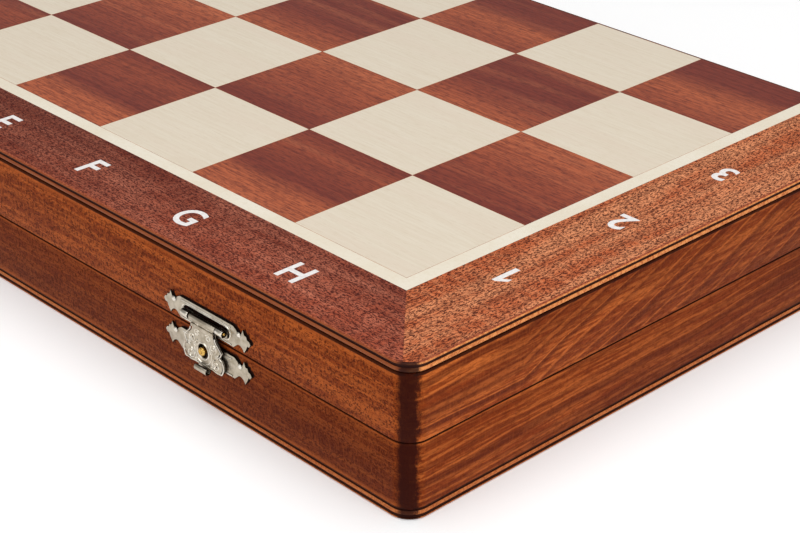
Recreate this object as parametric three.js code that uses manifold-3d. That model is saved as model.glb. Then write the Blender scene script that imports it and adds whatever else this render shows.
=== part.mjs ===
import * as THREE from 'three';
import * as BufferGeometryUtils from 'three/addons/utils/BufferGeometryUtils.js';
import Module from 'manifold-3d';

// A folding chess case, closed and lying flat, with its chessmen inside.
// Millimetres. +X runs along the files A to H, +Y from the latches to the hinges, +Z up.
// The origin is the centre of the underside.

const wasm = await Module();
wasm.setup();

// Playing field
const squareSize = 50;
const filesAcross = 8;
const ranksPerHalf = 4;
const sideBorder = 37.25;
const frontBorder = 34.75;
const foldTrim = 4.4;
const panelThickness = 3;
const frontCornerRadius = 7;

// Frame walls of both halves
const wallThickness = 9;
const mitreGap = 0.2;
const glueGap = 0.1;
const partingGap = 0.3;

// Chessmen: the king sets the size of the others
const kingBaseDiameter = squareSize * 0.72;
const kingHeight = squareSize * 1.8;
const menSides = 8;
const menGap = 2;
const restGap = 0.3;

// Lined trays
const trayFloor = 1.5;
const trayColumns = 10;
const trayRidge = 6;
const trayRim = 3;
const traySideGap = 0.3;
const trayBelowRim = 0.5;
const menHeadroom = 4.8;

// Butt hinges at the fold
const hingeSpacing = 300;
const hingeLength = 50;
const hingeKnuckles = 3;
const knuckleGap = 0.3;
const barrelRadius = 2.5;
const barrelPinRadius = 0.95;
const hingePinGap = 0.3;
const leafThickness = 1.2;
const leafReach = 8;
const leafGap = 0.1;
const reliefGap = 0.5;
const barrelSides = 16;

// Box latches on the front
const latchSpacing = 302;
const plateHalfWidth = 20.5;
const plateHeight = 7.2;
const plateThickness = 0.8;
const upperPlateAboveParting = 4.9;
const lowerPlateBelowParting = 5.8;
const rollLength = 12.4;
const rollRadius = 1.4;
const latchPinRadius = 0.5;
const latchPinGap = 0.3;
const lugLength = 3.2;
const slotGap = 0.5;
const haspThickness = 0.9;
const haspHalfWidth = 8.8;
const haspReach = 14.9;
const lipReach = 2.4;
const lipAngle = Math.PI / 3;
const knobDrop = 9.5;
const knobRadius = 1.8;
const knobGap = 0.5;
const knobStandOff = 3.6;
const smallSides = 12;

// Sizes that follow from the ones above
const halfLength = filesAcross * squareSize / 2 + sideBorder;
const caseDepth = frontBorder + ranksPerHalf * squareSize - foldTrim;
const frontFace = -caseDepth / 2;
const backFace = caseDepth / 2;
const trayBase = panelThickness + glueGap;
const channelFloor = trayBase + trayFloor;
const caseHeight = 2 * channelFloor + kingBaseDiameter + menHeadroom;
const parting = caseHeight / 2;
const lowerRim = parting - partingGap / 2;
const upperRim = parting + partingGap / 2;
const hingeAxisY = backFace + partingGap / 2;
const rollStandOff = plateThickness / 2 + rollRadius + 0.1;
const hookAxisZ = parting + upperPlateAboveParting;

const colours = {
  mahogany: { color: 0x7a3319, roughness: 0.35, metalness: 0 },
  stainedWood: { color: 0x8f4420, roughness: 0.4, metalness: 0 },
  flock: { color: 0x1f4a2e, roughness: 0.95, metalness: 0 },
  nickel: { color: 0xc9c0ae, roughness: 0.3, metalness: 1 },
  brass: { color: 0xb8934a, roughness: 0.3, metalness: 1 },
  boxwood: { color: 0xdcb878, roughness: 0.4, metalness: 0 },
  rosewood: { color: 0x4a2013, roughness: 0.4, metalness: 0 },
};

// Solids from geometry, and back

function toSolid(geometry) {
  const bare = geometry.clone();
  bare.deleteAttribute('normal');
  bare.deleteAttribute('uv');
  const merged = BufferGeometryUtils.mergeVertices(bare, 1e-4);
  const corners = merged.index.array;
  const kept = [];
  for (let i = 0; i < corners.length; i += 3) {
    const [a, b, c] = corners.slice(i, i + 3);
    if (a !== b && b !== c && c !== a) kept.push(a, b, c);
  }
  const vertProperties = new Float32Array(merged.attributes.position.array);
  const triVerts = new Uint32Array(kept);
  return new wasm.Manifold(new wasm.Mesh({ numProp: 3, vertProperties, triVerts }));
}

function toGeometry(solid) {
  const mesh = solid.getMesh();
  const geometry = new THREE.BufferGeometry();
  geometry.setAttribute('position', new THREE.BufferAttribute(mesh.vertProperties, 3));
  geometry.setIndex(new THREE.BufferAttribute(mesh.triVerts, 1));
  geometry.computeVertexNormals();
  return geometry;
}

function cut(geometry, cutters) {
  let solid = toSolid(geometry);
  for (const cutter of cutters) solid = solid.subtract(toSolid(cutter));
  return toGeometry(solid);
}

function join(geometries) {
  let solid = toSolid(geometries[0]);
  for (const other of geometries.slice(1)) solid = solid.add(toSolid(other));
  return toGeometry(solid);
}

function overlapOf(first, second) {
  return toGeometry(toSolid(first).intersect(toSolid(second)));
}

function block(x, y, z) {
  const size = new THREE.BoxGeometry(x[1] - x[0], y[1] - y[0], z[1] - z[0]);
  return size.translate((x[0] + x[1]) / 2, (y[0] + y[1]) / 2, (z[0] + z[1]) / 2);
}

function rodAlongX(radius, x, y, z, sides) {
  const rod = new THREE.CylinderGeometry(radius, radius, x[1] - x[0], sides);
  return rod.rotateZ(Math.PI / 2).translate((x[0] + x[1]) / 2, y, z);
}

function shapeOf(points) {
  return new THREE.Shape(points.map(([x, y]) => new THREE.Vector2(x, y)));
}

function slab(shape, from, to, curveSegments = 12) {
  const settings = { depth: to - from, bevelEnabled: false, curveSegments };
  return new THREE.ExtrudeGeometry(shape, settings).translate(0, 0, from);
}

const model = new THREE.Group();

function add(name, geometry, finish, parent = model) {
  const mesh = new THREE.Mesh(geometry, new THREE.MeshStandardMaterial(colours[finish]));
  mesh.name = name;
  parent.add(mesh);
  return mesh;
}

// The case

// Outline seen from above: the two front corners are rounded, the fold edge is sharp
function caseOutline() {
  const shape = new THREE.Shape();
  const turn = frontCornerRadius;
  shape.moveTo(-halfLength, backFace);
  shape.lineTo(-halfLength, frontFace + turn);
  shape.absarc(-halfLength + turn, frontFace + turn, turn, Math.PI, 1.5 * Math.PI, false);
  shape.absarc(halfLength - turn, frontFace + turn, turn, 1.5 * Math.PI, 2 * Math.PI, false);
  shape.lineTo(halfLength, backFace);
  return shape;
}

// Regions that the mitred joints leave to each wall
function wallRegions() {
  const past = 1;
  const deep = wallThickness + past;
  const alongX = (depth) => halfLength - mitreGap - depth;
  const frontSide = (depth) => frontFace + mitreGap + depth;
  const backSide = (depth) => backFace - mitreGap - depth;
  const lengthwise = (y, inward) => [
    [-alongX(-past), y - inward * past],
    [alongX(-past), y - inward * past],
    [alongX(deep), y + inward * deep],
    [-alongX(deep), y + inward * deep],
  ];
  const crosswise = (side) => [
    [side * (halfLength + past), frontSide(-past)],
    [side * (halfLength - deep), frontSide(deep)],
    [side * (halfLength - deep), backSide(deep)],
    [side * (halfLength + past), backSide(-past)],
  ];
  return {
    front_wall: lengthwise(frontFace, 1),
    back_wall: lengthwise(backFace, -1),
    left_wall: crosswise(-1),
    right_wall: crosswise(1),
  };
}

function frameRing(from, to) {
  const inside = {
    x: [-halfLength + wallThickness, halfLength - wallThickness],
    y: [frontFace + wallThickness, backFace - wallThickness],
    z: [from - 1, to + 1],
  };
  return cut(slab(caseOutline(), from, to), [block(inside.x, inside.y, inside.z)]);
}

function hingeCentres() {
  return [-hingeSpacing / 2, hingeSpacing / 2];
}

// Mortise for the leaf and relief for the barrel; rimSide is 1 where the rim faces up
function hingeRecesses(rim, rimSide) {
  const into = (depth) => [rim - rimSide * depth, rim + rimSide].sort((a, b) => a - b);
  const recesses = [];
  for (const centre of hingeCentres()) {
    const x = [centre - hingeLength / 2 - reliefGap, centre + hingeLength / 2 + reliefGap];
    const leafFrom = backFace - leafReach - reliefGap;
    const reliefFrom = hingeAxisY - barrelRadius - reliefGap;
    recesses.push(block(x, [leafFrom, backFace + 1], into(leafThickness + 2 * leafGap)));
    recesses.push(block(x, [reliefFrom, backFace + 1], into(barrelRadius + reliefGap)));
  }
  return recesses;
}

function addFrame(half, panelZ, wallZ, rim, rimSide) {
  add(`${half}_panel`, slab(caseOutline(), ...panelZ), 'mahogany');
  const ring = frameRing(...wallZ);
  for (const [side, region] of Object.entries(wallRegions())) {
    let wall = overlapOf(ring, slab(shapeOf(region), wallZ[0] - 1, wallZ[1] + 1));
    if (side === 'back_wall') wall = cut(wall, hingeRecesses(rim, rimSide));
    add(`${half}_${side}`, wall, 'stainedWood');
  }
}

// The trays

const trayHalfLength = halfLength - wallThickness - traySideGap;
const trayFront = frontFace + wallThickness + traySideGap;
const trayBack = backFace - wallThickness - traySideGap;
const channelFront = trayFront + trayRim;
const channelBack = trayBack - trayRim;
const channelsLength = 2 * (trayHalfLength - trayRim);
const channelWidth = (channelsLength - (trayColumns - 1) * trayRidge) / trayColumns;

function columnCentre(column) {
  const first = -trayHalfLength + trayRim + channelWidth / 2;
  return first + column * (channelWidth + trayRidge);
}

// A lined floor sheet and a comb of dividers that stands on it
function addTray(half, floorZ, combZ) {
  const x = [-trayHalfLength, trayHalfLength];
  const y = [trayFront, trayBack];
  const channels = [];
  for (let column = 0; column < trayColumns; column += 1) {
    const centre = columnCentre(column);
    const across = [centre - channelWidth / 2, centre + channelWidth / 2];
    channels.push(block(across, [channelFront, channelBack], [combZ[0] - 1, combZ[1] + 1]));
  }
  add(`${half}_tray_floor`, block(x, y, floorZ), 'flock');
  add(`${half}_tray_dividers`, cut(block(x, y, combZ), channels), 'flock');
}

// The hinges

function hingeLeaf(centre, rim, rimSide, knuckles) {
  const pitch = hingeLength / hingeKnuckles;
  const low = rim - rimSide * leafGap;
  const z = [low, low - rimSide * leafThickness].sort((a, b) => a - b);
  const start = centre - hingeLength / 2;
  const leafEdge = hingeAxisY - barrelRadius - knuckleGap;
  const leaf = block([start, start + hingeLength], [backFace - leafReach, leafEdge], z);
  const pieces = [leaf];
  for (const knuckle of knuckles) {
    const x = [start + knuckle * pitch + knuckleGap / 2, start + (knuckle + 1) * pitch - knuckleGap / 2];
    pieces.push(block(x, [leafEdge - 1, hingeAxisY - barrelPinRadius], z));
    pieces.push(rodAlongX(barrelRadius, x, hingeAxisY, parting, barrelSides));
  }
  const bore = [start - 1, start + hingeLength + 1];
  return cut(join(pieces), [
    rodAlongX(barrelPinRadius + hingePinGap, bore, hingeAxisY, parting, barrelSides),
  ]);
}

function addHinges() {
  const sides = ['left', 'right'];
  for (const [index, centre] of hingeCentres().entries()) {
    const name = `hinge_${sides[index]}`;
    const x = [centre - hingeLength / 2, centre + hingeLength / 2];
    const outer = [0, hingeKnuckles - 1];
    add(`${name}_lower_leaf`, hingeLeaf(centre, lowerRim, 1, outer), 'brass');
    add(`${name}_upper_leaf`, hingeLeaf(centre, upperRim, -1, [1]), 'brass');
    add(`${name}_pin`, rodAlongX(barrelPinRadius, x, hingeAxisY, parting, barrelSides), 'brass');
  }
}

// The latches, drawn about their own centre line and the wall's front face

// Plate outline with a spiked ornament at each end
function plateShape(middleZ) {
  const half = plateHeight / 2;
  const quarter = [
    [plateHalfWidth, 0],
    [plateHalfWidth - 2, half * 0.35],
    [plateHalfWidth - 4.4, half * 0.4],
    [plateHalfWidth - 5, half * 0.95],
    [plateHalfWidth - 6.6, half * 0.6],
    [plateHalfWidth - 7.4, half],
  ];
  const mirrored = (x, z) => quarter.slice(1).map(([a, b]) => [a * x, b * z]);
  const outline = [
    quarter[0],
    ...mirrored(1, 1),
    ...mirrored(-1, 1).reverse(),
    [-plateHalfWidth, 0],
    ...mirrored(-1, -1),
    ...mirrored(1, -1).reverse(),
  ];
  return shapeOf(outline.map(([a, b]) => [a, b + middleZ]));
}

// Stands a shape drawn in X and Z up against the front face, from near to far stand-off
function standing(shape, near, far) {
  return slab(shape, near, far).rotateX(Math.PI / 2);
}

function latchPlate(middleZ) {
  return standing(plateShape(middleZ), 0.1, plateThickness);
}

function upperPlate() {
  const slotHalf = rollLength / 2 + slotGap;
  const lugEnd = slotHalf + lugLength;
  const slotX = [-slotHalf, slotHalf];
  const lugs = [[slotHalf, lugEnd], [-lugEnd, -slotHalf]];
  const slotZ = [hookAxisZ - rollRadius - slotGap, hookAxisZ + rollRadius + slotGap];
  const plate = cut(latchPlate(parting + upperPlateAboveParting), [
    block(slotX, [-plateThickness - 1, 1], slotZ),
  ]);
  const ears = lugs.map((x) => rodAlongX(rollRadius, x, -rollStandOff, hookAxisZ, smallSides));
  const bore = rodAlongX(latchPinRadius + latchPinGap, [-lugEnd - 1, lugEnd + 1],
    -rollStandOff, hookAxisZ, smallSides);
  return cut(join([plate, ...ears]), [bore]);
}

function haspShape() {
  const rollHalf = rollLength / 2;
  const side = [
    [rollHalf, 0],
    [rollHalf, -0.26 * haspReach],
    [haspHalfWidth - 0.6, -0.42 * haspReach],
    [haspHalfWidth, -0.8 * haspReach],
    [haspHalfWidth - 1.2, -0.96 * haspReach],
    [lipReach, -haspReach],
  ];
  const outline = [...side, ...side.map(([x, z]) => [-x, z]).reverse()];
  return shapeOf(outline.map(([x, z]) => [x, z + hookAxisZ]));
}

function hasp() {
  const bladeFrom = rollStandOff - haspThickness / 2 + 0.1;
  const blade = standing(haspShape(), bladeFrom, bladeFrom + haspThickness);
  const roll = rodAlongX(rollRadius, [-rollLength / 2, rollLength / 2], -rollStandOff, hookAxisZ,
    smallSides);
  const lip = new THREE.BoxGeometry(2 * lipReach, haspThickness, lipReach + 1);
  lip.translate(0, 0, -lipReach / 2).rotateX(-lipAngle);
  lip.translate(0, -bladeFrom - haspThickness / 2, hookAxisZ - haspReach + 0.4);
  const bore = rodAlongX(latchPinRadius + latchPinGap, [-rollLength, rollLength],
    -rollStandOff, hookAxisZ, smallSides);
  const hole = new THREE.CylinderGeometry(knobRadius + knobGap, knobRadius + knobGap,
    2 * knobStandOff, smallSides);
  hole.translate(0, -knobStandOff, hookAxisZ - knobDrop);
  return cut(join([blade, roll, lip]), [bore, hole]);
}

function catchPlate() {
  const profile = [
    [0, 0.3],
    [knobRadius * 0.7, 0.3],
    [knobRadius * 0.7, knobStandOff * 0.55],
    [knobRadius, knobStandOff * 0.7],
    [knobRadius * 0.8, knobStandOff * 0.92],
    [0, knobStandOff],
  ];
  const points = profile.map(([x, y]) => new THREE.Vector2(x, y));
  const knob = new THREE.LatheGeometry(points, smallSides).rotateX(Math.PI);
  knob.translate(0, 0, hookAxisZ - knobDrop);
  return join([latchPlate(parting - lowerPlateBelowParting), knob]);
}

function addLatches() {
  const lugEnd = rollLength / 2 + slotGap + lugLength;
  for (const [side, sign] of [['left', -1], ['right', 1]]) {
    const latch = new THREE.Group();
    latch.position.set(sign * latchSpacing / 2, frontFace, 0);
    model.add(latch);
    const pin = rodAlongX(latchPinRadius, [-lugEnd, lugEnd], -rollStandOff, hookAxisZ, smallSides);
    add(`latch_${side}_plate`, upperPlate(), 'nickel', latch);
    add(`latch_${side}_pin`, pin, 'nickel', latch);
    add(`latch_${side}_hasp`, hasp(), 'nickel', latch);
    add(`latch_${side}_catch`, catchPlate(), 'nickel', latch);
  }
}

// The chessmen

// Sizes as shares of the king, and half outlines as shares of base radius and height
const men = {
  king: {
    base: 1,
    height: 1,
    outline: [[1, 0], [1, 0.05], [0.84, 0.09], [0.5, 0.17], [0.33, 0.32], [0.32, 0.5], [0.6, 0.62],
      [0.42, 0.67], [0.62, 0.83], [0.3, 0.88], [0.14, 0.9]],
  },
  queen: {
    base: 0.95,
    height: 0.91,
    outline: [[1, 0], [1, 0.055], [0.84, 0.1], [0.5, 0.19], [0.33, 0.35], [0.32, 0.54], [0.58, 0.66],
      [0.4, 0.7], [0.63, 0.9], [0.3, 0.93], [0.16, 0.99]],
  },
  bishop: {
    base: 0.86,
    height: 0.77,
    outline: [[1, 0], [1, 0.06], [0.84, 0.12], [0.5, 0.22], [0.34, 0.38], [0.33, 0.54], [0.62, 0.6],
      [0.42, 0.64], [0.5, 0.76], [0.36, 0.89], [0.15, 0.99]],
  },
  knight: {
    base: 0.89,
    height: 0.71,
    outline: [[1, 0], [1, 0.075], [0.84, 0.13], [0.7, 0.2]],
  },
  rook: {
    base: 0.86,
    height: 0.59,
    outline: [[1, 0], [1, 0.08], [0.84, 0.15], [0.56, 0.28], [0.46, 0.62], [0.7, 0.76], [0.72, 1],
      [0.5, 1], [0.46, 0.88]],
  },
  pawn: {
    base: 0.78,
    height: 0.5,
    outline: [[1, 0], [1, 0.09], [0.82, 0.17], [0.46, 0.34], [0.32, 0.58], [0.6, 0.66], [0.38, 0.71],
      [0.55, 0.83], [0.3, 0.97]],
  },
};

const horseHead = [[-0.6, 0.18], [0.62, 0.18], [0.72, 0.36], [0.5, 0.52], [0.86, 0.5], [0.96, 0.6],
  [0.88, 0.7], [0.4, 0.86], [0.22, 1], [-0.06, 0.93], [-0.56, 0.76], [-0.78, 0.52], [-0.72, 0.3]];
const horseThickness = 0.5;
const crossArm = 0.26;
const crossBar = 0.1;

function turned(kind, radius, height) {
  const outline = men[kind].outline.map(([r, h]) => new THREE.Vector2(r * radius, h * height));
  const bottom = new THREE.Vector2(0, 0);
  const top = new THREE.Vector2(0, outline.at(-1).y);
  return new THREE.LatheGeometry([bottom, ...outline, top], menSides);
}

function withCross(body, radius, height) {
  const arm = crossArm * radius;
  const bar = crossBar * radius;
  const upright = block([-bar, bar], [0.88 * height, height], [-bar, bar]);
  const across = block([-arm, arm], [0.93 * height, 0.96 * height], [-bar, bar]);
  return join([body, upright, across]);
}

function withHorseHead(body, radius, height) {
  const head = shapeOf(horseHead.map(([r, h]) => [r * radius, h * height]));
  const half = horseThickness * radius;
  return join([body, slab(head, -half, half)]);
}

function manGeometry(kind) {
  const radius = men[kind].base * kingBaseDiameter / 2;
  const height = men[kind].height * kingHeight;
  const body = turned(kind, radius, height);
  if (kind === 'king') return withCross(body, radius, height);
  if (kind === 'knight') return withHorseHead(body, radius, height);
  return toGeometry(toSolid(body));
}

// A man lying down rests on the rim of its base and on the widest part of its head
function lyingTilt(kind) {
  const radius = men[kind].base * kingBaseDiameter / 2;
  const height = men[kind].height * kingHeight;
  const baseEdge = men[kind].outline[1][1] * height;
  const touches = men[kind].outline.slice(2).map(([r, h]) => [r * radius, h * height]);
  if (kind === 'knight') touches.push([horseThickness * radius, height]);
  const angles = touches.map(([r, h]) => Math.atan2(radius - r, h - baseEdge));
  return Math.min(...angles);
}

// White fills the first columns and black mirrors it
const columnPlan = [
  ['pawn_a', 'pawn_b', 'pawn_c', 'pawn_d'],
  ['bishop_c', 'knight_b', 'rook_a'],
  ['queen', 'pawn_e', 'rook_h'],
  ['king', 'pawn_f', 'pawn_g'],
  ['bishop_f', 'knight_g', 'pawn_h'],
];

function addColumn(colour, finish, column, names) {
  const headsBack = column % 2 === 0;
  let next = channelBack - menGap;
  for (const name of names) {
    const kind = name.split('_')[0];
    const lying = manGeometry(kind);
    if (!headsBack) lying.rotateZ(Math.PI);
    lying.rotateX(headsBack ? -lyingTilt(kind) : lyingTilt(kind));
    lying.computeBoundingBox();
    const { min, max } = lying.boundingBox;
    const man = add(`${colour}_${name}`, lying, finish);
    man.position.set(columnCentre(column), next - max.y, channelFloor + restGap - min.z);
    next -= max.y - min.y + menGap;
  }
}

function addMen() {
  for (const [index, names] of columnPlan.entries()) {
    addColumn('white', 'boxwood', index, names);
    addColumn('black', 'rosewood', trayColumns - 1 - index, names);
  }
}

addFrame('lower', [0, panelThickness], [trayBase, lowerRim], lowerRim, 1);
addFrame('upper', [caseHeight - panelThickness, caseHeight], [upperRim, caseHeight - trayBase],
  upperRim, -1);
addTray('lower', [trayBase, channelFloor], [channelFloor + glueGap, lowerRim - trayBelowRim]);
addTray('upper', [caseHeight - channelFloor, caseHeight - trayBase],
  [upperRim + trayBelowRim, caseHeight - channelFloor - glueGap]);
addHinges();
addLatches();
addMen();

export default model;
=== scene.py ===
import math

import bmesh
import bpy
from mathutils import Matrix, Vector


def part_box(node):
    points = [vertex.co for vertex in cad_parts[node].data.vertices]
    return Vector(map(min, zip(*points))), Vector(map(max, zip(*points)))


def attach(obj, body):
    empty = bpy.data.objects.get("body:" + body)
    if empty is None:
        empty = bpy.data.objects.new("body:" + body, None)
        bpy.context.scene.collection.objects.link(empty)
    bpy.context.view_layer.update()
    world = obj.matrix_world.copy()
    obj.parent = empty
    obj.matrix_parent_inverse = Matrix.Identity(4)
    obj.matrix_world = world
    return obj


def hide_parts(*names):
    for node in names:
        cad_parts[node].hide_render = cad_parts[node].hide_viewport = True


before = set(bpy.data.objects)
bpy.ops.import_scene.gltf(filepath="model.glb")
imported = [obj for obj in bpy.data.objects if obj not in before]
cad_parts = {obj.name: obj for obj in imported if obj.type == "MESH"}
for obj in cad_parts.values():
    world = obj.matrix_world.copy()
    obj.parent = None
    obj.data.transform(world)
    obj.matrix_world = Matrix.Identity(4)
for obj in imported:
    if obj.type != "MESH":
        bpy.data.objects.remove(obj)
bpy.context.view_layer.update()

mm = 0.001
collection = bpy.context.scene.collection


def paint(red, green, blue):
    # a colour given as it looks on screen, 0 to 255
    def linear(value):
        value /= 255
        return value / 12.92 if value <= 0.04045 else ((value + 0.055) / 1.055) ** 2.4
    return (linear(red), linear(green), linear(blue), 1)


class Wire:
    # one value in a material; arithmetic on it adds Math nodes
    def __init__(self, tree, socket=None):
        self.tree = tree
        self.socket = socket

    def add(self, kind, settings=None, inputs=None, output=0):
        node = self.tree.nodes.new("ShaderNode" + kind)
        for key, value in (settings or {}).items():
            if key == "stops":
                ramp = node.color_ramp
                while len(ramp.elements) < len(value):
                    ramp.elements.new(1)
                for element, (place, colour) in zip(ramp.elements, value):
                    element.position = place
                    element.color = colour
            else:
                setattr(node, key, value)
        for key, value in (inputs or {}).items():
            if isinstance(value, Wire):
                self.tree.links.new(value.socket, node.inputs[key])
            else:
                node.inputs[key].default_value = value
        return Wire(self.tree, node.outputs[output])

    def maths(self, operation, other=0.0, first=None):
        start = self if first is None else first
        return self.add("Math", {"operation": operation}, {0: start, 1: other})

    def __add__(self, other):
        return self.maths("ADD", other)

    def __sub__(self, other):
        return self.maths("SUBTRACT", other)

    def __rsub__(self, other):
        return self.maths("SUBTRACT", self, other)

    def __mul__(self, other):
        return self.maths("MULTIPLY", other)

    def __truediv__(self, other):
        return self.maths("DIVIDE", other)

    def __rtruediv__(self, other):
        return self.maths("DIVIDE", self, other)

    __radd__ = __add__
    __rmul__ = __mul__

    def magnitude(self):
        return self.maths("ABSOLUTE")

    def clamped(self, low, high):
        # 0 below low, 1 above high, smooth between
        ends = {"From Min": low, "From Max": high, "Value": self}
        return self.add("MapRange", {"interpolation_type": "SMOOTHSTEP"}, ends)

    def stretched(self, scale):
        return self.add("Mapping", None, {"Vector": self, "Scale": scale})

    def noise(self, scale, detail=2.0, roughness=0.5, distortion=0.0):
        return self.add("TexNoise", None, {"Vector": self, "Scale": scale, "Detail": detail,
                                           "Roughness": roughness, "Distortion": distortion})

    def ramp(self, stops):
        return self.add("ValToRGB", {"stops": stops}, {"Fac": self})

    def mixed(self, first, second):
        # this value as the factor between two colours
        return self.add("Mix", {"data_type": "RGBA"}, {0: self, 6: first, 7: second}, 2)

    def laid(self, colour, mask, share=1):
        # another colour laid over this one
        factor = mask if share == 1 else mask * share
        return factor.mixed(self, colour)

    def part(self, axis):
        return self.add("SeparateXYZ", None, {0: self}, "XYZ".index(axis))


def startMaterial(name):
    material = bpy.data.materials.new(name)
    material.use_nodes = True
    place = Wire(material.node_tree).add("TexCoord", output="Object")
    return material, place


def finishMaterial(material, colour, roughness, bump=None, metallic=0.0, coat=0.0, strength=0.3,
                   depth=0.2, sheen=0.0, specular=0.5):
    tree = material.node_tree
    shader = tree.nodes["Principled BSDF"]
    values = {"Base Color": colour, "Roughness": roughness, "Metallic": metallic,
              "Coat Weight": coat, "Coat Roughness": 0.18, "Sheen Weight": sheen,
              "Specular IOR Level": specular}
    for socket, value in values.items():
        if isinstance(value, Wire):
            tree.links.new(value.socket, shader.inputs[socket])
        else:
            shader.inputs[socket].default_value = value
    if bump is not None:
        settings = {"Height": bump, "Strength": strength, "Distance": depth * mm}
        normal = bump.add("Bump", None, settings)
        tree.links.new(normal.socket, shader.inputs["Normal"])
    return material


print("shader tools ready")

# sizes that the whole script shares, from the frame
panelLow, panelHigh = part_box("upper_panel")
halfLength = panelHigh.x
frontFace, backFace = panelLow.y, panelHigh.y
caseTop = panelHigh.z
panelThickness = panelHigh.z - panelLow.z
parting = caseTop / 2
cornerRadius = 7 * mm

board = {
    "square": 50 * mm,
    "files": 8,
    "ranks": 4,
    "frontBorder": 34.75 * mm,
    "edgeTrim": 0.7 * mm,        # what the outer squares lose to the stringing
    "frontTrim": 0.5 * mm,
    "stringing": 5.0 * mm,
    "tuck": 0.3 * mm,            # the border laps over the stringing by this much
    "joint": 0.2 * mm,           # half the width of a veneer joint
    "lip": 1.1 * mm,             # solid edging round the veneer
    "foldStrip": 0.7 * mm,
    "print": 0.05 * mm,          # thickness of the printed characters
    "letterHeight": 10.2 * mm,
}
fieldFront = frontFace + board["frontBorder"]
fieldHalf = board["files"] * board["square"] / 2
lineHalf = fieldHalf + board["stringing"] - board["tuck"]
lineFront = fieldFront - board["stringing"] + board["tuck"]


def addPiece(name, bm, material, body, slot, nodes=(), smooth=35):
    bmesh.ops.remove_doubles(bm, verts=bm.verts, dist=1e-7)
    mesh = bpy.data.meshes.new(name)
    bm.to_mesh(mesh)
    bm.free()
    piece = bpy.data.objects.new(name, mesh)
    collection.objects.link(piece)
    for each in material if isinstance(material, list) else [material]:
        mesh.materials.append(each)
    if smooth:
        for polygon in mesh.polygons:
            polygon.use_smooth = True
        mesh.set_sharp_from_angle(angle=math.radians(smooth))
    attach(piece, body)
    if nodes:
        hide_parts(*nodes)


def nodeCopy(node):
    # a CAD solid as a clean mesh of flat faces
    bm = bmesh.new()
    bm.from_mesh(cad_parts[node].data)
    bmesh.ops.remove_doubles(bm, verts=bm.verts, dist=1e-6)
    bmesh.ops.dissolve_limit(bm, angle_limit=math.radians(1), verts=bm.verts, edges=bm.edges)
    return bm


def smoothLine(points, steps=4, closed=False):
    # a curve through points; one that has a third entry stays a sharp corner
    count = len(points)
    line = []
    for index in range(count if closed else count - 1):
        near = [points[(index + k) % count] if closed
                else points[min(max(index + k, 0), count - 1)] for k in (-1, 0, 1, 2)]
        a, b, c, d = (Vector(point[:2]) for point in near)
        chord = c - b
        leaving = chord if len(near[1]) > 2 else (c - a).normalized() * chord.length
        arriving = chord if len(near[2]) > 2 else (d - b).normalized() * chord.length
        straight = len(near[1]) > 2 and len(near[2]) > 2
        for step in range(1 if straight else steps):
            t = step / steps
            line.append(b * (2 * t ** 3 - 3 * t ** 2 + 1) + leaving * (t ** 3 - 2 * t ** 2 + t)
                        + c * (3 * t ** 2 - 2 * t ** 3) + arriving * (t ** 3 - t ** 2))
    if not closed:
        line.append(Vector(points[-1][:2]))
    return [tuple(point) for point in line]


def meshOf(curve):
    # curves are drawn in mm and used as meshes
    holder = bpy.data.objects.new("drawing", curve)
    collection.objects.link(holder)
    bpy.context.view_layer.update()
    mesh = bpy.data.meshes.new_from_object(holder)
    bpy.data.objects.remove(holder)
    bpy.data.curves.remove(curve)
    bm = bmesh.new()
    bm.from_mesh(mesh)
    bpy.data.meshes.remove(mesh)
    bmesh.ops.remove_doubles(bm, verts=bm.verts, dist=1e-4)
    return bm


def addSpline(curve, points, height, closed):
    spline = curve.splines.new("POLY")
    spline.points.add(len(points) - 1)
    for point, place in zip(spline.points, points):
        point.co = (place[0], place[1], height, 1)
    spline.use_cyclic_u = closed


def flatPiece(outlines, thickness, rim=0.12, height=0.0):
    # a plate in the drawing plane with rounded rims; later outlines are holes
    curve = bpy.data.curves.new("outline", "CURVE")
    curve.dimensions = "2D"
    curve.fill_mode = "BOTH"
    curve.extrude = thickness / 2 - rim
    curve.bevel_depth = rim
    curve.bevel_resolution = 1
    curve.offset = -rim
    for outline in outlines:
        addSpline(curve, outline, 0, True)
    return moved(meshOf(curve), Matrix.Translation((0, 0, height)))


def ridge(points, radius, height=0.0, closed=False):
    # a round bead along a line of the drawing plane
    curve = bpy.data.curves.new("ridge", "CURVE")
    curve.dimensions = "3D"
    curve.bevel_depth = radius
    curve.bevel_resolution = 1
    curve.use_fill_caps = True
    addSpline(curve, points, height, closed)
    return meshOf(curve)


def turnedPiece(profile, steps=32, closed=False):
    # a profile of radius and height turned about the vertical axis
    bm = bmesh.new()
    verts = [bm.verts.new((radius, 0, height)) for radius, height in profile]
    pairs = zip(verts, verts[1:] + verts[:1]) if closed else zip(verts, verts[1:])
    edges = [bm.edges.new(pair) for pair in pairs]
    bmesh.ops.spin(bm, geom=[*verts, *edges], cent=(0, 0, 0), axis=(0, 0, 1),
                   angle=2 * math.pi, steps=steps, use_merge=True)
    bmesh.ops.remove_doubles(bm, verts=bm.verts, dist=1e-5)
    bmesh.ops.recalc_face_normals(bm, faces=bm.faces)
    return bm


def moved(bm, matrix):
    bmesh.ops.transform(bm, matrix=matrix, verts=bm.verts)
    return bm


def quarter(axis):
    return Matrix.Rotation(math.pi / 2, 4, axis)


def gathered(pieces, matrix=None):
    # several meshes as one, moved into place together
    whole = bmesh.new()
    for piece in pieces:
        mesh = bpy.data.meshes.new("part")
        piece.to_mesh(mesh)
        piece.free()
        whole.from_mesh(mesh)
        bpy.data.meshes.remove(mesh)
    if matrix is not None:
        moved(whole, matrix)
    bmesh.ops.recalc_face_normals(whole, faces=whole.faces)
    return whole


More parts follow.
